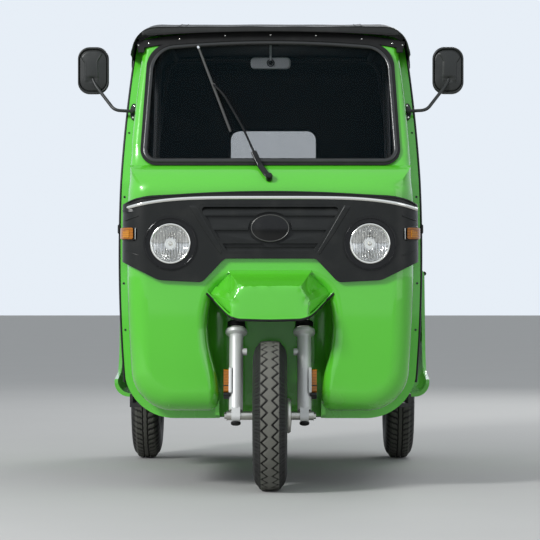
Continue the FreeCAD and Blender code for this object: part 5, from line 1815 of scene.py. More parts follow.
    def inner_mirror(self) -> tuple[Form, Form, Form]:
        """Interior mirror's back, its stalk, and the ball with its ring in front of it.

        Returns:
            The back, the stalk and the ball.
        """
        behind = float(FACE.screen(1697.0)) + 65
        outline = round_box((-76, 1585), (76, 1628), 16, 7)
        head = onto(plate(outline, -10, 10, 6), behind)
        path = spots(0, np.linspace(behind - 14, behind - 8, 6), np.linspace(1612, 1690, 6))
        stalk = tube(path, 0.0045, 10)
        ball = lathe([(-9, 0), (-6, 7), (0, 9.5), (3, 9)], spot(0, behind - 16, 1607), BACKWARD, 24)
        ring = lathe(ring_section(1.5, 13, (2, 2)), spot(0, behind - 12, 1607), BACKWARD, 32)
        return head, stalk, ball.joined(ring)

    def build(self) -> None:
        """Dress the windscreen."""
        refined(SCREEN_GLASS_SHADE_TINT, "windscreen_glass")
        refined(BEAD_RUBBER, "windscreen_gasket")
        dress("gasket_insert", self.ridge(), GASKET_INSERT)
        dress("visor_rubber", self.visor(), SOFT_RUBBER, "body", ("visor_strip",))
        dress("visor_tabs", self.tabs(), SOFT_RUBBER)
        dress("visor_rivets", self.rivets(), POLISHED)
        bar, rubber, tip = self.blade()
        dress("wiper_arm", self.wiper_arm(), GLOSS_BLACK, "body", ("wiper",))
        dress("wiper_bar", bar, BRUSHED)
        dress("wiper_rubber", rubber, BEAD_RUBBER)
        dress("wiper_tip", tip, PALE_PLASTIC)
        head, stalk, ball = self.inner_mirror()
        dress("inner_mirror_back", head, MIRROR_BACK, "body", ("interior_mirror",))
        dress("inner_mirror_stalk", stalk, PALE_PLASTIC)
        dress("inner_mirror_ball", ball, BLACK_PLASTIC)


@dataclass
class OutsideMirrors:
    """Heads with ribbed backs, bent stalks and screwed oval feet."""

    across: float = 676.0
    up: float = 1578.0
    behind: float = 300.1
    half: Pair = (58.5, 89.0)
    foot_up: float = 1418.0

    def back(self) -> Form:
        """Shell of the right head as rings of its outline.

        Rings run from the middle of the front to the rim, round the side and under the glass. The
        front's height is a crown, a raised rim, and a middle panel that is bounded by two ribs.

        Returns:
            The shell of the right head.
        """
        width, height = self.half
        edge = evened(round_box((-width, -height), (width, height), 45, 12), 168, True)
        share = np.concatenate([np.linspace(0.004, 0.86, 34), np.linspace(0.875, 1.0, 14)])
        flat = edge[None] * share[:, None, None]
        out, rise = flat[..., 0], flat[..., 1]
        outer = np.interp(rise, [-60, -35, 30, 59, 80], [32, 29, 30.5, 51, 62])
        inner = np.interp(rise, [-60, -35, 35, 67, 80], [-20, -18, -16, -35, -46])
        ribs = np.exp(-(((out - outer) / 2.6) ** 2)) + np.exp(-(((out - inner) / 2.6) ** 2))
        panel = smoothed((outer - out) / 8 + 0.5) * smoothed((out - inner) / 8 + 0.5)
        fade = smoothed((rise + 46) / 10) * smoothed((0.84 - share[:, None]) / 0.06)
        socket = np.exp(-(((out - 2) / 15) ** 2 + ((rise + 34) / 9) ** 4))
        tall = 13 + 8 * (1 - share[:, None] ** 2) + fade * (2.5 * panel + 1.6 * ribs) - 6.5 * socket
        groove = np.exp(-(((share[:, None] - 0.885) / 0.02) ** 2)) * 4
        roll = np.sqrt(np.clip(1 - ((share[:, None] - 0.955) / 0.05) ** 2, 0, 1))
        rim = smoothed((share[:, None] - 0.89) / 0.04) * 5.5 * roll
        front = spots(self.across + out, self.behind + 2 - (tall - groove + rim), self.up + rise)
        sides = np.array([(1.0, -10.0), (1.012, -4.0), (1.012, 4.0), (0.99, 8.0), (0.93, 8.0)])
        skirt = spots(
            self.across + edge[:, 0] * sides[:, :1], self.behind + sides[:, 1:],
            self.up + edge[:, 1] * sides[:, :1],
        )
        return grid(np.concatenate([front, skirt]), False, True).flipped()

    def stalks(self) -> Form:
        """Bent rod from the head's socket to the foot.

        Returns:
            Both rods.
        """
        foot_x = float(FACE.edge(np.array(self.foot_up)))
        route = [
            spot(foot_x - 22, 222, self.foot_up), spot(foot_x + 49, 215, self.foot_up + 4),
            spot(self.across - 8, 282, self.up - 56), spot(self.across + 2, 288, self.up - 32),
        ]
        return tube(arc_route(route, 0.022, 9), 0.0062, 12).both()

    def feet(self) -> Form:
        """Oval foot on the flange, with a raised middle and the stalk's socket.

        Returns:
            Both feet.
        """
        lean = FACE.outwards()
        turn = np.stack([RIGHT, -np.cross(RIGHT, lean), lean], axis=1)
        at = spot(519, float(FACE.flange(np.array(self.foot_up))) - 8, self.foot_up - 2)
        base = plate(oval((0, 0), (14, 34), 40), -2, 8, 2.5)
        boss = plate(oval((0, 2), (9.5, 13), 32), 6, 30, 4)
        return base.joined(boss).placed(turn, at).both()

    def screws(self) -> Form:
        """Two bright screws on each foot.

        Returns:
            The screws of both feet.
        """
        lean = FACE.outwards()
        up = np.array([self.foot_up + 20, self.foot_up - 24])
        across = np.array([517.0, 521.0])
        places = spots(across, FACE.flange(up) - 8, up) + lean * 7 * MM
        return dome(0.0048, 0.003, 14).copies(standing(lean), places).both()

    def build(self) -> None:
        """Dress the mirrors."""
        shell = self.back().both().joined(self.stalks(), self.feet())
        dress("mirror_shells", shell, MIRROR_PLASTIC, "body", ("mirrors",))
        dress("mirror_screws", self.screws(), POLISHED)
        refined(MIRROR, "mirror_glasses")


@dataclass
class Steering:
    """Fork, axle and handlebar, in the raked frame of the steering axis."""

    leg: float = 127.0
    offset: float = 40.0
    axle_up: float = 277.0
    rake: float = 20.0
    bar_up: float = 857.0

    def leaned(self, form: Form) -> Form:
        """A form in millimetres of the steering axis's frame, laid in its raked place.

        Args:
            form: The form.

        Returns:
            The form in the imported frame.
        """
        level, lift = math.cos(math.radians(self.rake)), math.sin(math.radians(self.rake))
        turn = np.array([[1, 0, 0], [0, level, lift], [0, -lift, level]])
        origin = spot(0, self.offset * level, self.axle_up - self.offset * lift)
        return form.placed(turn, origin)

    def spun(self, profile: list[Pair], sides: int = 40) -> Form:
        """Turned form round the right leg's axis, in millimetres of the steering frame."""
        form = lathe(profile, np.array([self.leg, -self.offset, 0]) * MM, UP, sides)
        return form.over(form.points / MM)

    def box(self, x: Pair, y: Pair, z: Pair, edge: float) -> Form:
        """Bevelled block beside the leg, in millimetres of the steering frame.

        Args:
            x: Its two ends across.
            y: Its two ends along.
            z: Its two ends in height.
            edge: The bevel's width.

        Returns:
            The block.
        """
        outline = round_box((y[0], z[0]), (y[1], z[1]), edge * 2)
        block = plate(outline, x[0], x[1], edge)
        return block.over(block.points[:, [2, 0, 1]])

    def boots(self) -> Form:
        """Ribbed rubber boot: a radius that waves with height between the cup and the tube.

        Returns:
            Both boots.
        """
        along = np.linspace(336, 370, 50)
        radius = 33.5 - 3.5 * (along - 336) / 34 + 3.2 * np.cos((along - 339) * math.tau / 8.5)
        profile = [(334, 20), (334, 33)] + list(zip(along, radius)) + [(371, 26), (371, 20.5)]
        return self.leaned(self.spun(profile, 48)).both()

    def cups(self) -> Form:
        """Flared silver cup on top of each lower leg.

        Returns:
            Both cups.
        """
        flare = [(306, 26.5), (312, 28), (318, 37), (322, 40.6), (331, 41), (335, 39.5)]
        profile = [*flare, (336, 34), (336, 22)]
        return self.leaned(self.spun(profile, 48)).both()

    def rings(self) -> Form:
        """Bright wire rings that hold the boots.

        Returns:
            The rings of both boots.
        """
        low = self.spun(ring_section(338.5, 37.5, (1.5, 1.5)), 48)
        high = self.spun(ring_section(368, 29.5, (1.3, 1.3)), 48)
        return self.leaned(low.joined(high)).both()

    def feet(self) -> Form:
        """Black cap under each axle lug."""
        profile = [(-35, 0.0), (-35, 15), (-33.5, 17.5), (-31, 18.5), (-27, 18.5)]
        return self.leaned(self.spun(profile, 28)).both()

    def reflector_plates(self) -> Form:
        """Silver plate behind each reflector."""
        return self.leaned(self.box((143, 153.4), (-70, -10), (80, 180), 2.0)).both()

    def reflector_bands(self) -> Form:
        """Dark bracket end under each reflector, and the dark band that parts its lens.

        Returns:
            The bands on both sides.
        """
        foot = self.box((148, 173), (-66, -20), (70, 83), 2.0)
        band = self.box((153, 174), (-63, -17), (108, 112), 0.4)
        return self.leaned(foot.joined(band)).both()

    def nuts(self) -> Form:
        """Hexagon nuts and washers at the axle's ends."""
        return bolt(0.0125, 0.011).copies(standing(RIGHT), spot(159, 0, self.axle_up)).both()

    def levers(self) -> Form:
        """Clutch and brake levers before the grips, and a switch box beside each grip.

        Returns:
            The levers and boxes of both grips.
        """
        bar = np.array([0, 0, self.bar_up])
        route = np.array([(196.0, -8, 0), (214, -46, -2), (262, -62, -4), (345, -56, -8)]) + bar
        lever = tube(arc_route(route, 26, 8), 5.2, 10)
        end = (bar + [347, -56, -8]) * MM
        knob = lathe([(-8, 0), (-6, 6), (0, 8), (6, 6), (8, 0)], end, RIGHT, 14)
        section = [(180, 11), (180, 19), (183, 21), (212, 21), (215, 19), (215, 11)]
        clamp = lathe(section, bar * MM, RIGHT, 24)
        ends = knob.joined(clamp)
        return self.leaned(lever.joined(ends.over(ends.points / MM))).both()

    def build(self) -> None:
        """Dress the steering."""
        refined(FRAME_BLACK, "steering_stem")
        refined(FORK_SILVER, "fork_legs")
        refined(AMBER, "fork_reflectors")
        refined(ZINC, "front_axle")
        refined(FRAME_BLACK, "handlebar")
        refined(SOFT_RUBBER, "handlebar_grips")
        dress("fork_boots", self.boots(), SOFT_RUBBER, "steering", ("fork_collars",))
        dress("fork_cups", self.cups(), FORK_SILVER, "steering")
        dress("boot_rings", self.rings(), POLISHED, "steering")
        dress("leg_caps", self.feet(), SOFT_RUBBER, "steering")
        dress("reflector_plates", self.reflector_plates(), FORK_SILVER, "steering")
        dress("reflector_bands", self.reflector_bands(), BLACK_PLASTIC, "steering")
        dress("axle_nuts", self.nuts(), ZINC, "steering")
        dress("hand_levers", self.levers(), BLACK_PLASTIC, "steering")


@dataclass
class Wheels:
    """Tyres with their tread, the rims, and the nuts and caps on them."""

    radius: float = 277.0
    seat: float = 160.0
    half: float = 44.0
    front_steps: int = 760
    rear_steps: int = 420
    tread_waves: int = 39
    block_waves: int = 60
    hub: float = 46.0

    def tyre(self, centre: Array, zigzag: bool) -> Form:
        """Tyre as a grid: steps round the axle by steps across the section.

        The section is a crown arc, round shoulders and bulging walls. Tread grooves lower the
        crown: waves of a triangle function round the tyre, or blocks between straight grooves.

        Args:
            centre: Middle of the wheel.
            zigzag: Whether the tread is the front one.

        Returns:
            The tyre, with the share of worn tread at each point.
        """
        crown = np.linspace(-self.half, self.half, 63)
        shoulder = np.maximum(0, (np.abs(crown) - 34) / 10)
        crown_r = self.radius - 3.0 * (crown / 33) ** 2 - 10.0 * shoulder**2
        down = np.linspace(0.09, 1, 15)
        wall_x = self.half + 20.5 * np.sin(down**0.62 * math.pi * 0.62) - 13 * down**6
        wall_r = crown_r[-1] - (crown_r[-1] - self.seat) * down
        x = np.concatenate([-wall_x[::-1], crown, wall_x, [40.5, -40.5]])
        radius = np.concatenate([wall_r[::-1], crown_r, wall_r, [self.seat - 3, self.seat - 3]])
        steps = self.front_steps if zigzag else self.rear_steps
        turn = np.arange(steps) * math.tau / steps
        across, angle = np.meshgrid(x, turn)
        depth = self.zigzag(across, angle) if zigzag else self.blocks(across, angle)
        radial = radius - 6.5 * depth * (radius > 230)
        ribs = np.exp(-(((radial - 196) / 2.2) ** 2)) + np.exp(-(((radial - 236) / 1.6) ** 2))
        bulge = np.sign(across) * ribs * 1.3 * (np.abs(across) > 50)
        worn = (1 - depth) * smoothed(((36 if zigzag else 46) - np.abs(across)) / 4)
        points = np.stack([across + bulge, np.cos(angle) * radial, np.sin(angle) * radial], axis=-1)
        form = grid(points * MM + centre, True, True)
        form.values["worn"] = worn.ravel()
        return form

    def zigzag(self, across: Array, angle: Array) -> Array:
        """Depth share of two zigzag grooves, sipes between them, and shoulder lugs.

        A groove's distance is measured square to its slope, so that it is as wide everywhere.

        Args:
            across: Distances from the middle of the tread.
            angle: Turn round the axle.

        Returns:
            0 on the tread to 1 at the bottom of a groove.
        """
        wave = self.triangle(angle * self.tread_waves / math.tau)
        wave = 1.12 * wave / np.sqrt(1 + 0.25 * wave**2)
        line = np.abs(np.abs(across) - 20 - 10.5 * wave) * 0.72
        groove = 1 - smoothed((line - 2.4) / 1.4)
        between = np.abs(self.triangle(angle * self.tread_waves / math.tau + 0.25) * 11)
        sipe = (1 - smoothed((between - 0.5) / 0.8)) * smoothed((np.abs(across) - 33) / 1.5) * 0.7
        shoulder = smoothed((np.abs(across) - 37) / 2) * (1 - smoothed((np.abs(across) - 52) / 4))
        lug = smoothed(self.triangle(angle * 3 * self.tread_waves / math.tau) / 0.5)
        return np.clip(np.maximum.reduce([groove, sipe, shoulder * lug * 0.75]), 0, 1)

    def blocks(self, across: Array, angle: Array) -> Array:
        """Depth share of a rib in the middle and blocks beside it, parted by cross grooves.

        Args:
            across: Distances from the middle of the tread.
            angle: Turn round the axle.

        Returns:
            0 on the tread to 1 at the bottom of a groove.
        """
        wave = self.triangle(angle * self.block_waves / math.tau)
        ribs = np.abs(np.abs(across) - 10 - wave)
        groove = 1 - smoothed((ribs - 1.8) / 1.4)
        off = np.abs(across)
        cross = self.triangle(angle * self.block_waves / math.tau + off / 90)
        shoulder = smoothed((cross - 0.25) / 0.25) * smoothed((off - 12) / 2)
        shoulder = shoulder * (1 - smoothed((off - 54) / 4))
        return np.clip(np.maximum(groove, shoulder), 0, 1)

    @staticmethod
    def triangle(phase: Array) -> Array:
        """Triangle wave between -1 and 1, with period 1."""
        return 4 * np.abs(phase - np.floor(phase + 0.5)) - 1

    def fittings(self, centre: Array, outwards: float, face: float) -> Form:
        """Ring of wheel nuts and a grease cap on a rim's disc.

        Args:
            centre: Middle of the wheel.
            outwards: 1 where the disc looks to the right, -1 where it looks to the left.
            face: How far the hub stands out from the middle, in millimetres.

        Returns:
            The nuts and the cap.
        """
        axis = RIGHT * outwards
        angle = np.arange(4) * math.tau / 4 + 0.4
        ring = np.stack([0 * angle, np.cos(angle), np.sin(angle)], axis=1) * 62 + axis * 15
        nuts = bolt(0.0095, 0.013).copies(standing(axis), ring * MM + centre)
        section = [(-4, 30), (4, 30), (12, 25), (16, 14), (17, 0)]
        cap = lathe([(face + along, radius) for along, radius in section], centre, axis, 32)
        return nuts.joined(cap)

    def valve(self, centre: Array, outwards: float) -> Form:
        """Rubber valve through the rim.

        Args:
            centre: The wheel's middle.
            outwards: 1 or -1: the side on which it stands.

        Returns:
            The valve.
        """
        start = centre + np.array([outwards * 18, 0, 121]) * MM
        section = [(0, 5), (8, 4.5), (10, 3), (26, 3), (28, 3.8), (33, 3.4), (34, 0)]
        return lathe(section, start, np.array([outwards * 0.9, 0, -0.44]), 12)

    def build(self) -> None:
        """Make the tyres and dress the rims."""
        wheels = (
            ("front", "front_wheel", "front_tyre", "front_rim", 1.0),
            ("rear_left", "rear_wheel_left", "rear_tyre_left", "rear_rim_left", -1.0),
            ("rear_right", "rear_wheel_right", "rear_tyre_right", "rear_rim_right", 1.0),
        )
        for which, body, tyre, rim, outwards in wheels:
            centre = box_middle(tyre)
            front = which == "front"
            finish = TREAD if front else REAR_TREAD
            tread = self.tyre(centre, front)
            dress(which + "_tread", tread, finish, body, (tyre,), Shading.SMOOTH)
            refined(WHEEL_SILVER, rim)
            if not front:
                dress(which + "_nuts", self.fittings(centre, outwards, self.hub), ZINC, body)
            dress(which + "_valve", self.valve(centre, outwards), SOFT_RUBBER, body)


# Soft pieces
@dataclass(frozen=True)
class Pad:
    """A cushion's plan, its depth and where it stands, in millimetres.

    Its plan is (u, v) and its depth w; a seat's w is up, and a back's w is forwards. Its lower
    and its upper edge are each a half-width, a v and the radius of the corners.
    """

    name: str
    lower: Triple
    upper: Triple
    base: float
    depth: float
    upright: bool
    voxel: float
    cap: float
    channels: tuple[float, ...] = ()
    pull: float = 10.0

    def corners(self) -> Array:
        """The plan's four corners with their radii, anticlockwise from the lower left one.

        Returns:
            Rows of (u, v, radius).
        """
        lower, upper = np.array(self.lower), np.array(self.upper)
        left = np.array([-1, 1, 1])
        return np.array([lower * left, lower, upper, upper * left])

    def place(self, u: Array, v: Array, w: Array) -> Array:
        """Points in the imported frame: a seat lies, a back stands with its depth forwards."""
        return spots(u, self.base - w, v) if self.upright else spots(u, v, self.base + w)

    def outwards(self) -> tuple[int, float]:
        """The axis that its depth runs along, and the sign that it runs with."""
        return (1, -1.0) if self.upright else (2, 1.0)

    def outline(self, inset: float, count: int = 200) -> Array:
        """Plan outline drawn in by an inset, its sides pulled in between the corners.

        Args:
            inset: The inset, in millimetres.
            count: How many points it has.

        Returns:
            Points as (u, v).
        """
        corner = self.corners()
        middle = corner[:, :2].mean(axis=0)
        signs = np.sign(corner[:, :2] - middle)
        drawn = corner[:, :2] - signs * inset
        loop = evened(rounded_loop(np.column_stack([drawn, corner[:, 2]]), 10), count, True)
        half = np.ptp(loop, axis=0) / 2
        share = np.clip(1 - np.abs((loop - middle) / half), 0, 1)
        side = np.abs((loop - middle) / half) > 0.9
        return loop - np.sign(loop - middle) * self.pull * 0.5 * share[:, ::-1] * side

    def start(self) -> Form:
        """Crowned closed form, a little smaller than the finished pad.

        Rings of the outline go from the middle of the underside, round the side and over the
        top, whose height is a crown that falls towards the edge.

        Returns:
            The form.
        """
        edge = self.outline(11.0)
        middle = edge.mean(axis=0)
        tall = self.depth - 24
        under = [(0.02, 3.0), (0.5, 3.0), (0.9, 3.5), (0.975, 9.0)]
        crown = [
            (1, 0.30), (1, 0.62), (0.975, 0.80), (0.93, 0.88), (0.8, 0.95), (0.5, 1), (0.02, 1),
        ]
        section = np.array(under + [(share, rise * tall) for share, rise in crown])
        rings = middle + (edge - middle)[None] * section[:, None, :1]
        levels = np.broadcast_to(section[:, 1:], rings.shape[:2])
        points = self.place(rings[..., 0], rings[..., 1], levels)
        skin = grid(points, False, True)
        return skin.joined(fan(points[0], True), fan(points[-1]))


@dataclass
class Seats:
    """Driver's and passengers' cushions, blown up as cloth, with piping and sewn channels."""

    frames: int = 20
    pressure: float = 4.0
    pads: tuple[Pad, ...] = (
        Pad("driver_cushion", (240, 710, 60), (240, 1040, 60), 620.5, 99.0, False, 0.008, 0.022),
        Pad("driver_backrest", (240, 760, 60), (220, 1150, 80), 1122.0, 69.0, True, 0.008, 0.022,
            (880.0, 1010.0)),
        Pad("bench_cushion", (600, 1490, 60), (600, 1895, 30), 640.5, 119.0, False, 0.012, 0.026,
            (-200.0, 200.0)),
        Pad("bench_backrest", (600, 775, 40), (560, 1290, 80), 1999.5, 99.0, True, 0.012, 0.026,
            (-200.0, 200.0)),
    )

    def blown(self, pad: Pad) -> Mesh:
        """A pad's mesh, remeshed evenly and swollen by cloth under pressure.

        Args:
            pad: The pad.
        """
        mesh = pad.start().mesh(pad.name + "_start")
        with worked(mesh, 0.0001) as work:
            bmesh.ops.recalc_face_normals(work, faces=work.faces)
        holder = bpy.data.objects.new(pad.name + "_start", mesh)
        scene = bpy.context.scene
        scene.collection.objects.link(holder)
        even = holder.modifiers.new("even", "REMESH")
        even.mode = "VOXEL"
        even.voxel_size = pad.voxel * 1.0
        flat = self.applied(holder)
        holder.modifiers.clear()
        holder.data = flat
        cloth = holder.modifiers.new("cloth", "CLOTH").settings
        cloth.quality = 5
        cloth.mass = 0.3
        cloth.use_pressure = True
        cloth.uniform_pressure_force = self.pressure
        cloth.effector_weights.gravity = 0.0
        cloth.tension_stiffness = 12.0
        cloth.bending_stiffness = 0.6
        for step in range(1, self.frames + 1):
            scene.frame_set(step)
        swollen = self.applied(holder)
        before, after = points_of(flat), points_of(swollen)
        shift = after - before
        length = np.linalg.norm(shift, axis=1, keepdims=True)
        after = before + shift * np.minimum(1, pad.cap / np.maximum(length, 1e-9))
        flat = swollen
        move_points(flat, self.kept_inside(pad, after))
        scene.frame_set(1)
        bpy.data.objects.remove(holder)
        return flat

    def applied(self, holder: Object) -> Mesh:
        """The object's mesh with its modifiers worked in.

        Args:
            holder: The object.

        Returns:
            The mesh.
        """
        graph = bpy.context.evaluated_depsgraph_get()
        graph.update()
        return bpy.data.meshes.new_from_object(holder.evaluated_get(graph))

    def kept_inside(self, pad: Pad, points: Array) -> Array:
        """Points held within the pad's own space, and flat on what it rests on.

        The depth is cut off at the base, and squeezed softly under the pad's full depth.

        Args:
            pad: The pad.
            points: Its swollen points, in metres.

        Returns:
            The held points.
        """
        held = points.copy()
        axis, sign = pad.outwards()
        base = pad.base * MM + (FRONT_AXLE[1] if pad.upright else 0.0)
        depth = (held[:, axis] - base) * sign
        full = (pad.depth - 1.5) * MM
        knee = full * 0.86
        over = np.maximum(0, depth - knee)
        depth = np.minimum(depth, knee) + (full - knee) * (1 - np.exp(-over / (full - knee)))
        held[:, axis] = base + sign * np.maximum(depth, 0.0005)
        plan = [0, 2] if pad.upright else [0, 1]
        corner = pad.corners()[:, :2] * MM + [0.0, 0.0 if pad.upright else FRONT_AXLE[1]]
        held[:, plan] = np.clip(held[:, plan], corner.min(axis=0) + MM, corner.max(axis=0) - MM)
        return held

    def channelled(self, pad: Pad, mesh: Mesh) -> None:
        """Press the sewn channels into the pad, as narrow dents along straight lines.

        Args:
            pad: The pad.
            mesh: Its mesh, which is changed.
        """
        if not pad.channels:
            return
        points = points_of(mesh)
        normals = np.empty(len(points) * 3, np.float32)
        mesh.vertices.foreach_get("normal", normals)
        normals = normals.reshape(-1, 3)
        level = pad.name == "driver_backrest"
        along = points[:, 2] if level else points[:, 0]
        lines = np.array(pad.channels) * MM
        nearest = np.min(np.abs(along[:, None] - lines[None]), axis=1)
        axis, sign = pad.outwards()
        facing = np.clip(normals[:, axis] * sign, 0, 1)
        dent = 0.0065 * np.exp(-((nearest / 0.0085) ** 2)) * facing
        move_points(mesh, points - normals * dent[:, None])

    def piping(self, pad: Pad, mesh: Mesh, share: float) -> Form:
        """Round piping laid on the settled pad along its outline at a share of its depth.

        Each point of the path is the mean of the pad's nearest points, smoothed along the loop.

        Args:
            pad: The pad.
            mesh: Its settled mesh.
            share: The share of its depth.

        Returns:
            The piping.
        """
        edge = pad.outline(2.0, 260)
        path = pad.place(edge[:, 0], edge[:, 1], share * pad.depth)
        points = points_of(mesh)
        distance = np.linalg.norm(path[:, None] - points[None], axis=-1)
        nearest = np.argsort(distance, axis=1)[:, :4]
        laid = points[nearest].mean(axis=1)
        weights = np.array([1, 4, 6, 4, 1.0]) / 16
        laid = sum(w * np.roll(laid, k - 2, axis=0) for k, w in enumerate(weights))
        facing = FORWARD if pad.upright else UP
        return swept(laid, ring_profile(0.0036, 8), facing, True)

    def build(self) -> None:
        """Make the pads and dress the seat boxes."""
        refined(FRAME_BLACK, "seat_bases", bevel=0.004)
        nodes = {"driver_backrest": "driver_seat_pads", "bench_backrest": "passenger_seat_pads"}
        for pad in self.pads:
            mesh = self.blown(pad)
            self.channelled(pad, mesh)
            cord = self.piping(pad, mesh, 0.80).joined(self.piping(pad, mesh, 0.16))
            stood_for = (nodes[pad.name],) if pad.name in nodes else ()
            piece = dress(pad.name, mesh, VINYL, "body", stood_for, Shading.SMOOTH)
            fine = piece.modifiers.new("fine", "SUBSURF")
            fine.levels = fine.render_levels = 1
            dress(pad.name + "_piping", cord, PIPING)


def blended_max(first: Array, second: Array, width: float | Array) -> Array:
    """Larger of two values with a parabola between them, so that their edge is round."""
    near = np.maximum(width - np.abs(first - second), 0)
    return np.maximum(first, second) + near**2 / (4 * width)


@dataclass
class Canopy:
    """Soft roof in one sheet, with hems, seams, stitches and its clear rear window."""

    front: float = 199.0
    lip_up: float = 1741.0
    top: float = 1786.0
    eave: float = 1690.0
    eave_half: float = 527.0
    belt: float = 842.0
    quarter: float = 1720.0
    corner: float = 90.0
    light_half: float = 193.0
    light_low: float = 1190.0
    light_high: float = 1461.0
    quarter_top: float = 1510.0
    rear: float = 2340.0
    side_lean: float = 0.1447
    eave_fall: float = 0.27
    roof_rise: float = 0.1243
    rear_lean: float = 0.0574
    inner_half: float = 400.0
    inner_rear: float = 2190.0
    seam: float = 330.0
    cross_seam: float = 1135.0
    pitch: float = 9.0
    margin: float = 120.0
    inner_top: float = 1640.0
    supports: tuple[float, ...] = (199.0, 620.0, 1135.0, 2014.0, 2330.0)

    def outside(self, x: Array, y: Array, z: Array) -> Array:
        """Distance outside the canopy's outer form.

        The form is where the leaning sides, the roof line and the rear curtain overlap, with
        their edges rounded by blended maxima.

        Args:
            x: Places across, in millimetres.
            y: Places behind the front axle.
            z: Heights.

        Returns:
            The distances, less than nothing inside.
        """
        half = self.eave_half - 7 * (1 - smoothed((y - self.front) / 260))
        low = (np.abs(x) - half - (self.eave - z) * self.side_lean) / math.hypot(1, self.side_lean)
        high = (np.abs(x) - half + (z - self.eave) * self.eave_fall) / math.hypot(1, self.eave_fall)
        side = blended_max(low, high, 3.0)
        rise = (z - self.lip_up - (y - 198) * self.roof_rise) / math.hypot(1, self.roof_rise)
        roof = blended_max(rise, z - self.top, 4.0)
        shell = blended_max(side, roof, 78.0)
        rear = (y - self.rear - (self.top - z) * self.rear_lean) / math.hypot(1, self.rear_lean)
        return blended_max(shell, rear, 22 + 109 * smoothed((z - 1640) / 100))

    def slack(self, x: Array, y: Array, z: Array) -> Array:
        """How far the cloth lies inside the outer form.

        Between two supports the roof sags by a parabola; the sides have long soft folds; fine
        wrinkles are products of sines.

        Args:
            x: Places across, in millimetres.
            y: Places behind the front axle.
            z: Heights.

        Returns:
            The depths, in millimetres.
        """
        stations = np.array(self.supports)
        at = np.clip(np.searchsorted(stations, np.clip(y, 200, 2329)) - 1, 0, len(stations) - 2)
        share = np.clip((y - stations[at]) / (stations[at + 1] - stations[at]), 0, 1)
        roof = smoothed((z - 1700) / 60) * (1 - smoothed((np.abs(x) - 380) / 110))
        sag = 4 * share * (1 - share) * 4.6 * roof
        folds = 1.4 * np.sin(y / 41 + z / 130) + 1.0 * np.sin(x / 37 - z / 170)
        folds = folds * (1 - smoothed((z - 1640) / 60))
        fine = 0.9 * np.sin(0.021 * x + 0.013 * y + 1.3) * np.sin(0.017 * y - 0.009 * x + 0.7)
        fine = fine + 0.6 * np.sin(0.037 * x - 0.029 * y + 0.4) * np.sin(0.031 * z + 0.02 * y)
        return 4.4 + sag + folds * 0.9 + fine

    def hem(self, y: Array) -> Array:
        """Height of the side's lower edge: a valance, then a round corner to the quarter.

        Args:
            y: Places behind the front axle.

        Returns:
            The heights, in millimetres.
        """
        valance = 1630 - 30 * smoothed((y - self.front) / 301)
        inside = self.corner**2 - (y - self.quarter + self.corner) ** 2
        drop = self.quarter_top + np.sqrt(np.maximum(inside, 0))
        low = np.where(y >= self.quarter, self.quarter_top, np.minimum(valance, drop))
        return np.where(y > self.quarter - self.corner, low, valance)

    def shot(self, a: Array, b: Array, z: Array, lift: Array) -> Array:
        """Points of the cloth, found along rays from inside the form.

        Each ray starts at a box point's nearest place in an inner box and runs through the box
        point; where the distance function is the cloth's own depth, found by halving, it stops.

        Args:
            a: Box places across, before they are widened with the lean of the sides.
            b: Box places behind the front axle.
            z: Box heights.
            lift: How far hems and seams stand over the cloth, in millimetres.

        Returns:
            The points in metres.
        """
        a, b, z, lift = np.broadcast_arrays(a, b, z, lift)
        held = np.minimum(z, self.inner_top)
        inner_x = self.inner_half + (self.eave - held) * self.side_lean
        span = self.inner_half - self.light_half
        mid = np.clip((np.abs(a) - self.light_half) / span, 0, 1)
        x = np.minimum(np.abs(a), self.light_half) + mid * (inner_x - self.light_half)
        x = np.sign(a) * (x + np.maximum(np.abs(a) - self.inner_half, 0))
        inner_y = self.inner_rear + (self.top - held) * self.rear_lean
        part = np.clip((b - self.quarter) / (self.inner_rear - self.quarter), 0, 1)
        y = np.minimum(b, self.quarter) + part * (inner_y - self.quarter)
        y = y + np.maximum(b - self.inner_rear, 0)
        start = np.stack([np.clip(x, -inner_x, inner_x), np.minimum(y, inner_y), held], axis=-1)
        way = unit(np.stack([x, y, z], axis=-1) - start + 1e-9)
        near, far = np.zeros(x.shape), np.full(x.shape, 700.0)
        depth = self.slack(x, y, z) - lift
        for _ in range(34):
            half = (near + far) / 2
            at = start + way * half[..., None]
            out = self.outside(at[..., 0], at[..., 1], at[..., 2]) + depth > 0
            far = np.where(out, half, far)
            near = np.where(out, near, half)
        at = start + way * near[..., None]
        return spots(at[..., 0], at[..., 1], at[..., 2])

    def rounded_light(self, x: Array, z: Array) -> tuple[Array, Array]:
        """Rear grid's places, bent so that the window's square corners become round ones.

        Args:
            x: Places across, in millimetres.
            z: Heights.

        Returns:
            The bent places and heights.
        """
        middle = (self.light_low + self.light_high) / 2
        out = np.abs(x) - (self.light_half - 40)
        rise = np.abs(z - middle) - ((self.light_high - self.light_low) / 2 - 40)
        reach = np.maximum(np.maximum(out, rise), 1e-6)
        angle = math.pi / 4 * np.clip(np.minimum(out, rise) / reach, 0, 1)
        wide = np.where(out >= rise, np.cos(angle), np.sin(angle)) * reach
        tall = np.where(out >= rise, np.sin(angle), np.cos(angle)) * reach
        blend = ((out > 0) & (rise > 0)) * (1 - smoothed((reach - 55) / 85))
        new_x = np.abs(x) + blend * (wide - out)
        new_z = np.abs(z - middle) + blend * (tall - rise)
        return np.sign(x) * new_x, middle + np.sign(z - middle) * new_z

    def band(self, distance: Array, width: float, height: float) -> Array:
        """Height of a doubled band along an edge: full near the edge, smooth at its inner side."""
        return height * (1 - smoothed((distance - width) / 6))

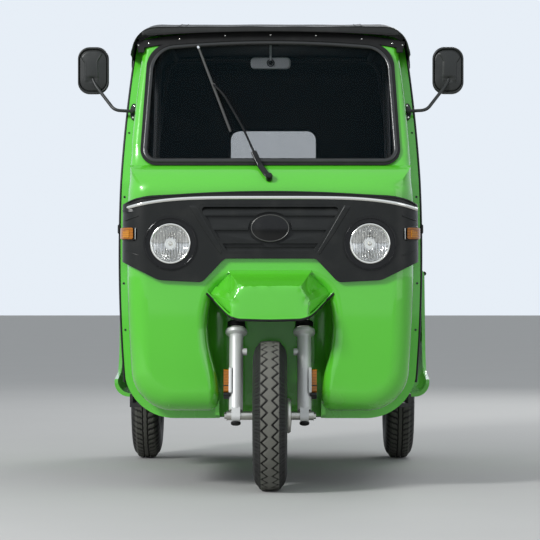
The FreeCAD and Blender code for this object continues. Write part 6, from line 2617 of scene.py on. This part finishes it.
    def sheet(self) -> Form:
        """The whole cloth: roof with both valances, both quarters, rear curtain and front lip.

        Returns:
            The cloth, without a thickness.
        """
        outer = self.inner_half + self.margin
        half, inner = self.light_half, self.inner_half
        side = np.concatenate([np.linspace(half, inner, 14)[1:], np.linspace(inner, outer, 9)[1:]])
        x_nodes = np.concatenate([-side[::-1], np.linspace(-half, half, 31), side])
        y_nodes = np.concatenate([
            np.linspace(self.front, self.quarter - self.corner, 92)[:-1],
            self.quarter - self.corner + self.corner * np.sin(np.linspace(0, math.pi / 2, 13)),
            np.linspace(self.quarter, self.inner_rear, 32)[1:],
            np.linspace(self.inner_rear, self.inner_rear + self.margin, 9)[1:],
        ])
        high = self.inner_top + self.margin
        share = np.linspace(0, 1, 17)
        hem = self.hem(y_nodes)
        side_z = high + (hem[:, None] - high) * share[None]
        hem_gap = side_z - hem[:, None]
        free = (y_nodes < self.quarter)[:, None]
        lift = self.band(hem_gap, 20.0, 1.6) * free
        right = self.shot(outer, y_nodes[:, None], side_z, lift)[:, ::-1]
        left = right * np.array([-1.0, 1.0, 1.0])
        fade = (1 - smoothed((y_nodes - 2180) / 60))[:, None]
        seam = 1.7 * np.exp(-(((np.abs(x_nodes[::-1]) - self.seam) / 9) ** 4))[None] * fade
        cross = 1.2 * np.exp(-(((y_nodes - self.cross_seam) / 14) ** 4))[:, None]
        roof = self.shot(x_nodes[None, ::-1], y_nodes[:, None], high, seam + cross)
        top = np.concatenate([right[:, :-1], roof, left[:, ::-1][:, 1:]], axis=1)
        low_z = np.concatenate([
            np.linspace(self.belt, self.light_low, 24)[:-1],
            np.linspace(self.light_low, self.light_high, 20)[:-1],
            np.linspace(self.light_high, self.quarter_top, 4),
        ])
        back = y_nodes >= self.quarter - 1e-6
        b = y_nodes[back][:, None]
        edge_gap = np.minimum(b - self.quarter, low_z[None] - self.belt)
        quarter = self.shot(outer, b, low_z[None], self.band(edge_gap, 20.0, 1.6))
        other = (quarter * np.array([-1.0, 1.0, 1.0]))[:, ::-1]
        rear_z = np.concatenate([low_z, side_z[-1, ::-1][1:]])
        grid_x, grid_z = np.meshgrid(x_nodes, rear_z)
        bent_x, bent_z = self.rounded_light(grid_x, grid_z)
        middle = (self.light_low + self.light_high) / 2
        tall = np.abs(bent_z - middle) - (self.light_high - self.light_low) / 2
        ring = np.maximum(np.maximum(np.abs(bent_x) - self.light_half, tall), 0)
        lift = self.band(rear_z[:, None] - self.belt, 20.0, 1.6) + self.band(ring, 26.0, 1.8)
        rear = self.shot(bent_x, self.inner_rear + self.margin, bent_z, lift)
        curtain = grid(rear)
        in_x = (grid_x[:-1, :-1] >= -half - 0.5) & (grid_x[:-1, 1:] <= half + 0.5)
        sill, head = self.light_low - 0.5, self.light_high + 0.5
        in_z = (grid_z[:-1, :-1] >= sill) & (grid_z[1:, :-1] <= head)
        curtain = Form(curtain.points, curtain.quads[~(in_x & in_z).ravel()])
        row = roof[0]
        across = row[:, 0] / MM
        foot = np.minimum(1720 - across**2 / 13780, row[:, 2] / MM - 0.5)
        fall = np.linspace(0, 1, 5)[:, None]
        lip_z = row[None, :, 2] / MM * (1 - fall) + foot[None] * fall
        lip = spots(across[None], self.front - 1.2 * np.sin(fall * 1.5), lip_z)
        return grid(top).joined(grid(quarter), grid(other), curtain, grid(lip))

    def lip_piping(self) -> Form:
        """Piping along the lip's hem.

        Returns:
            The piping.
        """
        across = np.linspace(-470, 470, 90)
        path = spots(across, self.front - 1.5, 1721 - across**2 / 13780)
        return tube(path, 0.0030, 8)

    def stitches(self) -> Form:
        """Stitches along the long roof seams, the quarter's edge and the window's frame.

        Returns:
            All stitches.
        """
        outer = self.inner_half + self.margin
        y = np.arange(230, 2150, self.pitch)
        seam_x = np.repeat([self.seam - 12, self.seam + 12], len(y))
        seam_y = np.tile(y, 2)
        roof = self.shot(seam_x, seam_y, self.inner_top + self.margin, 1.6)
        z = np.arange(self.belt + 20, 1500, self.pitch)
        side = self.shot(outer, self.quarter + 16, z, 1.8)
        y = np.arange(230, 1620, self.pitch)
        valance = self.shot(outer, y, self.hem(y) + 16, 1.8)
        places = np.concatenate([roof, side, valance])
        runs = ((BACKWARD, roof), (UP, side), (BACKWARD, valance))
        ways = np.concatenate([np.broadcast_to(way, run.shape) for way, run in runs])
        bead = np.array([(-2.6, 0.0), (-1.8, 0.7), (1.8, 0.7), (2.6, 0.0)]) * MM
        form = turned(bead, ORIGIN, UP, 5)
        return form.copies(standing(ways), places).both()

    def light(self) -> Form:
        """Clear window: a rounded sheet behind the curtain's opening, slightly waved.

        Returns:
            The sheet, without a thickness.
        """
        half, low, high = self.light_half + 12, self.light_low - 12, self.light_high + 12
        middle = (low + high) / 2
        edge = evened(round_box((-half, low), (half, high), 52, 8), 120, True)
        share = np.linspace(1.0, 0.0, 16)[:, None]
        x = edge[None, :, 0] * share
        z = middle + (edge[None, :, 1] - middle) * share
        y = self.rear + (self.top - z) * self.rear_lean - 7.6 + 0.8 * np.sin(x / 45 + z / 80)
        return grid(spots(x, y, z), False, True)

    def build(self) -> None:
        """Dress the canopy."""
        cloth, area = laid("canopy_sheet", self.sheet(), CANVAS, "canopy", 0.0024, 0.0004)
        piping = dress("lip_piping", self.lip_piping(), LIP_PIPING)
        thread = dress("canopy_stitches", self.stitches(), THREAD)
        window, area = laid("rear_light", self.light(), CLEAR_SHEET, "rear_window", 0.0008, 0.0002)


def laid(
    name: str, form: Form, finish: Finish, node: str, thickness: float, merge: float
) -> tuple[Object, float]:
    """Dress a sheet and give it its thickness, inwards from its outer side.

    Args:
        name: The piece's name.
        form: Its outer side.
        finish: Its finish.
        node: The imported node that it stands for.
        thickness: Its thickness in metres.
        merge: Distance within which points are doubles, in metres.

    Returns:
        The piece, and the area of its outer side in square metres.
    """
    mesh = form.mesh(name)
    with worked(mesh, merge) as work:
        bmesh.ops.dissolve_degenerate(work, edges=work.edges, dist=0.00002)
    areas = np.empty(len(mesh.polygons), np.float32)
    mesh.polygons.foreach_get("area", areas)
    piece = dress(name, mesh, finish, "body", (node,), Shading.SMOOTH)
    wall = piece.modifiers.new("wall", "SOLIDIFY")
    wall.thickness = thickness
    wall.offset = -1.0
    wall.use_rim = True
    return piece, float(areas.sum())


# Behind the cowl
@dataclass
class Cabin:
    """Floor with its ribbed mats, dashboard with its dial, and the tube frame."""

    dial_up: float = 1153.0
    dial_behind: float = 215.0

    def mat(self, half: float, reach: Pair, level: float) -> Form:
        """Ribbed rubber mat: heights wave across the floor.

        Args:
            half: Half of its width, in millimetres.
            reach: Its front and back edge behind the front axle.
            level: Height of its grooves.

        Returns:
            The mat's top.
        """
        across = np.linspace(-half, half, int(half / 10) * 8 + 1)[None]
        behind = np.linspace(reach[0], reach[1], 9)[:, None]
        height = level + 1.6 * smoothed(np.sin(across * math.tau / 20) * 1.4 + 0.5)
        return grid(spots(across, behind, height)[:, ::-1])

    def dial(self) -> tuple[Form, Form, Form]:
        """Speed dial's bezel, its face, and its needle and marks.

        Returns:
            The bezel, the face, and the needle with the marks.
        """
        centre = spot(0, self.dial_behind, self.dial_up)
        section = [(-2, 24), (-2, 29), (3, 30), (5, 28), (4, 25), (1, 24.5)]
        bezel = lathe(section, centre, BACKWARD, 48)
        face = lathe([(0, 24.8), (0.8, 24.6), (0.8, 0.0)], centre, BACKWARD, 48)
        angle = np.linspace(-0.75 * math.pi, 0.75 * math.pi, 19)
        ways = np.stack([np.sin(angle), 0 * angle, np.cos(angle)], axis=1)
        ring = (ways * 21 + BACKWARD) * MM + centre
        mark = lathe([(-1.8, 0.0), (-1.6, 0.5), (1.6, 0.5), (1.8, 0.0)], ORIGIN, UP, 6)
        start, end = centre + [0, 0.0018, 0], centre + [-0.012, 0.0018, -0.012]
        needle = tube(np.linspace(start, end, 6), 0.0007, 6)
        hub = lathe([(0, 3.2), (3, 3.0), (3.6, 0.0)], centre, BACKWARD, 20)
        return bezel, face, mark.copies(standing(ways), ring).joined(needle, hub)

    def switches(self) -> Form:
        """Round knobs on the pod, beside the dial.

        Returns:
            The knobs.
        """
        across = np.array([-58.0, -44.0, 44.0, 58.0])
        places = spots(across, self.dial_behind, self.dial_up - 6)
        knob = lathe([(0, 5.5), (5, 5.0), (7, 4), (7.5, 0.0)], ORIGIN, UP, 18)
        return knob.copies(standing(BACKWARD), places)

    def build(self) -> None:
        """Dress the cabin."""
        refined(FRAME_BLACK, "floor_pan", bevel=0.003)
        refined(BLACK_PLASTIC, "dashboard", bevel=0.002)
        refined(FRAME_BLACK, "roof_frame")
        driver = self.mat(500.0, (356.0, 1168.0), 317.2)
        dress("floor_mats", driver.joined(self.mat(540.0, (1200.0, 1478.0), 314.8)), SOFT_RUBBER)
        bezel, face, marks = self.dial()
        dress("dial_bezel", bezel, POLISHED)
        dress("dial_face", face, GLOSS_BLACK)
        dress("dial_marks", marks, PALE_PLASTIC)
        dress("pod_switches", self.switches(), BLACK_PLASTIC)


@dataclass
class Tail:
    """Rear body, lid, lamps, bumper and the parts below."""

    rear: float = 2400.0
    half: float = 650.0
    belt: float = 840.0
    damper: Triple = (418.0, 1958.0, 277.0)

    def belt_trim(self) -> Form:
        """Rubber trim along the belt: a path round the plan of the body's top edge.

        Returns:
            The trim.
        """
        corners = [(self.half, 1640, 0), (self.half, self.rear, 0), (0, self.rear, 0)]
        plan = evened(arc_route(corners, 108, 14), 120)
        plan = np.concatenate([plan, plan[-2::-1] * [-1.0, 1.0, 1.0]])
        path = spots(plan[:, 0], plan[:, 1], self.belt - 30)
        return swept(path, ring_profile(0.0105, 10, 0.9), UP)

    def arch_lips(self) -> Form:
        """Rolled lip round each rear wheel opening: an arc over the axle.

        Returns:
            Both lips.
        """
        angle = np.linspace(math.radians(5), math.radians(175), 90)
        path = spots(self.half + 1.0, 2000 + np.cos(angle) * 336, 280 + np.sin(angle) * 334)
        return swept(path, ring_profile(0.0065, 10), RIGHT).both()

    def side_pressings(self) -> Form:
        """Long raised line on each side panel over the wheel opening.

        Returns:
            Both lines.
        """
        behind = np.linspace(1640, 2330, 50)
        share = (behind - behind[0]) / (behind[-1] - behind[0])
        ends = smoothed(share / 0.05) * smoothed((1 - share) / 0.05)
        path = spots(self.half - 2.4 + 2.2 * ends, behind, 722.0)
        return swept(path, ring_profile(0.0062, 10, 0.9), RIGHT).both()

    def lamp_frames(self) -> Form:
        """Black frame round each tail lamp.

        Returns:
            Both frames.
        """
        loop = evened(round_box((466, 636), (539, 804), 16, 6), 90, True)
        path = spots(loop[:, 0], self.rear + 9.0, loop[:, 1])
        return swept(path, ring_profile(0.0062, 10, 1.4), BACKWARD, True).both()

    def backwards(self, form: Form, proud: float, share: float) -> Form:
        """A plate in millimetres (across, up, height) stood upright, its height backwards.

        Args:
            form: The plate.
            proud: Distance of its plane behind the rear panel.
            share: What its height is scaled by.

        Returns:
            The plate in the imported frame.
        """
        across, up, height = form.points.T
        return form.over(spots(across, self.rear + proud + height * share, up)).flipped()

    def lamp_parts(self) -> tuple[Form, Form]:
        """Amber and clear parts of the tail lamps, over the red one.

        Returns:
            The amber parts and the clear parts.
        """
        high = rounded_loop([(473, 750, 8), (532, 750, 8), (532, 797, 10), (473, 797, 10)], 5)
        low = rounded_loop([(473, 643, 10), (532, 643, 10), (532, 676, 6), (473, 676, 6)], 5)
        upper, lower = (plate(outline, -26, -23.4, 1.0) for outline in (high, low))
        return self.backwards(upper, 37.6, 0.5).both(), self.backwards(lower, 37.6, 0.5).both()

    def hoods(self) -> Form:
        """Pressed hood over each louvre of the lid: a quarter round along the slot.

        Returns:
            All hoods.
        """
        up = 498.0 + 32 * np.arange(6)
        across = np.linspace(-238, 238, 40)
        share = np.clip((240 - np.abs(across)) / 26, 0.05, 1)
        angle = np.linspace(0, math.pi / 2, 7)
        out = np.sin(angle)[None, :] * 9.5 * np.sqrt(share)[:, None]
        drop = (np.cos(angle) - 1)[None, :] * -9.0
        x = np.broadcast_to(across[:, None], out.shape)
        forms = [grid(spots(x, self.rear - 0.5 + out, z + 9 - drop)) for z in up]
        return forms[0].joined(*forms[1:])

    def latch(self) -> Form:
        """Turning latch on the lid, with its round plate.

        Returns:
            The latch.
        """
        centre = spot(0, self.rear, 452)
        base = lathe([(-1, 24), (2, 24), (4, 21), (5, 12), (5, 0.0)], centre, BACKWARD, 36)
        bar = plate(round_box((-22, 447), (22, 457), 4), 0, 8, 1.5)
        return base.joined(self.backwards(bar, 5, 1.0))

    def coils(self) -> Form:
        """Damper with its spring: a helix outside a stepped body.

        The helix's point at turn t is a circle's point raised in proportion to t.

        Returns:
            Both dampers.
        """
        x, y, low = self.damper
        turns = np.linspace(0, 9, 217)
        rise = low + 88 + turns / 9 * 208
        path = spots(x + 28.5 * np.cos(turns * math.tau), y + 28.5 * np.sin(turns * math.tau), rise)
        along = np.gradient(path, axis=0)
        outward = unit(path - spots(x, y, rise))
        coil = swept(path, ring_profile(0.0052, 8), np.cross(along, outward))
        profile = [
            (0, 0), (0, 12), (60, 12), (62, 22), (78, 22), (80, 34), (86, 34), (88, 21), (210, 21),
            (212, 12), (296, 12), (297, 34), (302, 34), (304, 14), (348, 14), (348, 0),
        ]
        return coil.joined(lathe(profile, spot(x, y, low), UP, 28)).both()

    def exhaust_straps(self) -> Form:
        """Two straps round the silencer.

        Returns:
            Both straps.
        """
        strap = lathe([(-9, 47), (-9, 50.5), (9, 50.5), (9, 47)], ORIGIN, RIGHT, 40)
        places = spots(np.array([-110.0, 150.0]), 2352.0, 250.0)
        return strap.copies(np.eye(3), places)

    def bumper_bolts(self) -> Form:
        """Bolts on the bumper, over its arms."""
        places = spots(330.0, 2433.0, np.array([350.0, 380.0]))
        return bolt(0.008, 0.008).copies(standing(BACKWARD), places).both()

    def build(self) -> None:
        """Dress the tail."""
        refined(GREEN, "rear_body", "rear_side_panels", "engine_lid")
        refined(RED, "tail_lamps", bevel=0.002)
        refined(FRAME_BLACK, "rear_bumper", bevel=0.003)
        refined(FRAME_BLACK, "chassis_frame", bevel=0.002)
        refined(CAST_METAL, "engine_block", bevel=0.012)
        refined(HOT_STEEL, "exhaust")
        refined(FRAME_BLACK, "trailing_arms")
        refined(SOFT_RUBBER, "half_shafts")
        dress("spring_dampers", self.coils(), FRAME_BLACK, "body", ("shock_absorbers",))
        amber, clear = self.lamp_parts()
        dress("belt_trim", self.belt_trim(), BEAD_RUBBER)
        dress("arch_lips", self.arch_lips(), GREEN)
        dress("side_pressings", self.side_pressings(), GREEN)
        dress("tail_lamp_frames", self.lamp_frames(), BLACK_PLASTIC)
        dress("tail_lamp_ambers", amber, AMBER)
        dress("tail_lamp_clears", clear, PALE_PLASTIC)
        dress("lid_hoods", self.hoods(), GREEN, "lid")
        dress("lid_latch", self.latch(), ZINC, "lid")
        dress("silencer_straps", self.exhaust_straps(), FRAME_BLACK)
        dress("bumper_bolts", self.bumper_bolts(), ZINC)


def main() -> None:
    """Build everything in order."""
    logging.basicConfig(level=logging.INFO)
    for part in (
        Studio(), Cowl(), Nose(), Headlamps(), Windscreen(), OutsideMirrors(), Steering(), Wheels(),
        Cabin(), Seats(), Canopy(), Tail(),
    ):
        part.build()
        LOG.info("%s is done", type(part).__name__)


if __name__ == "__main__":
    main()
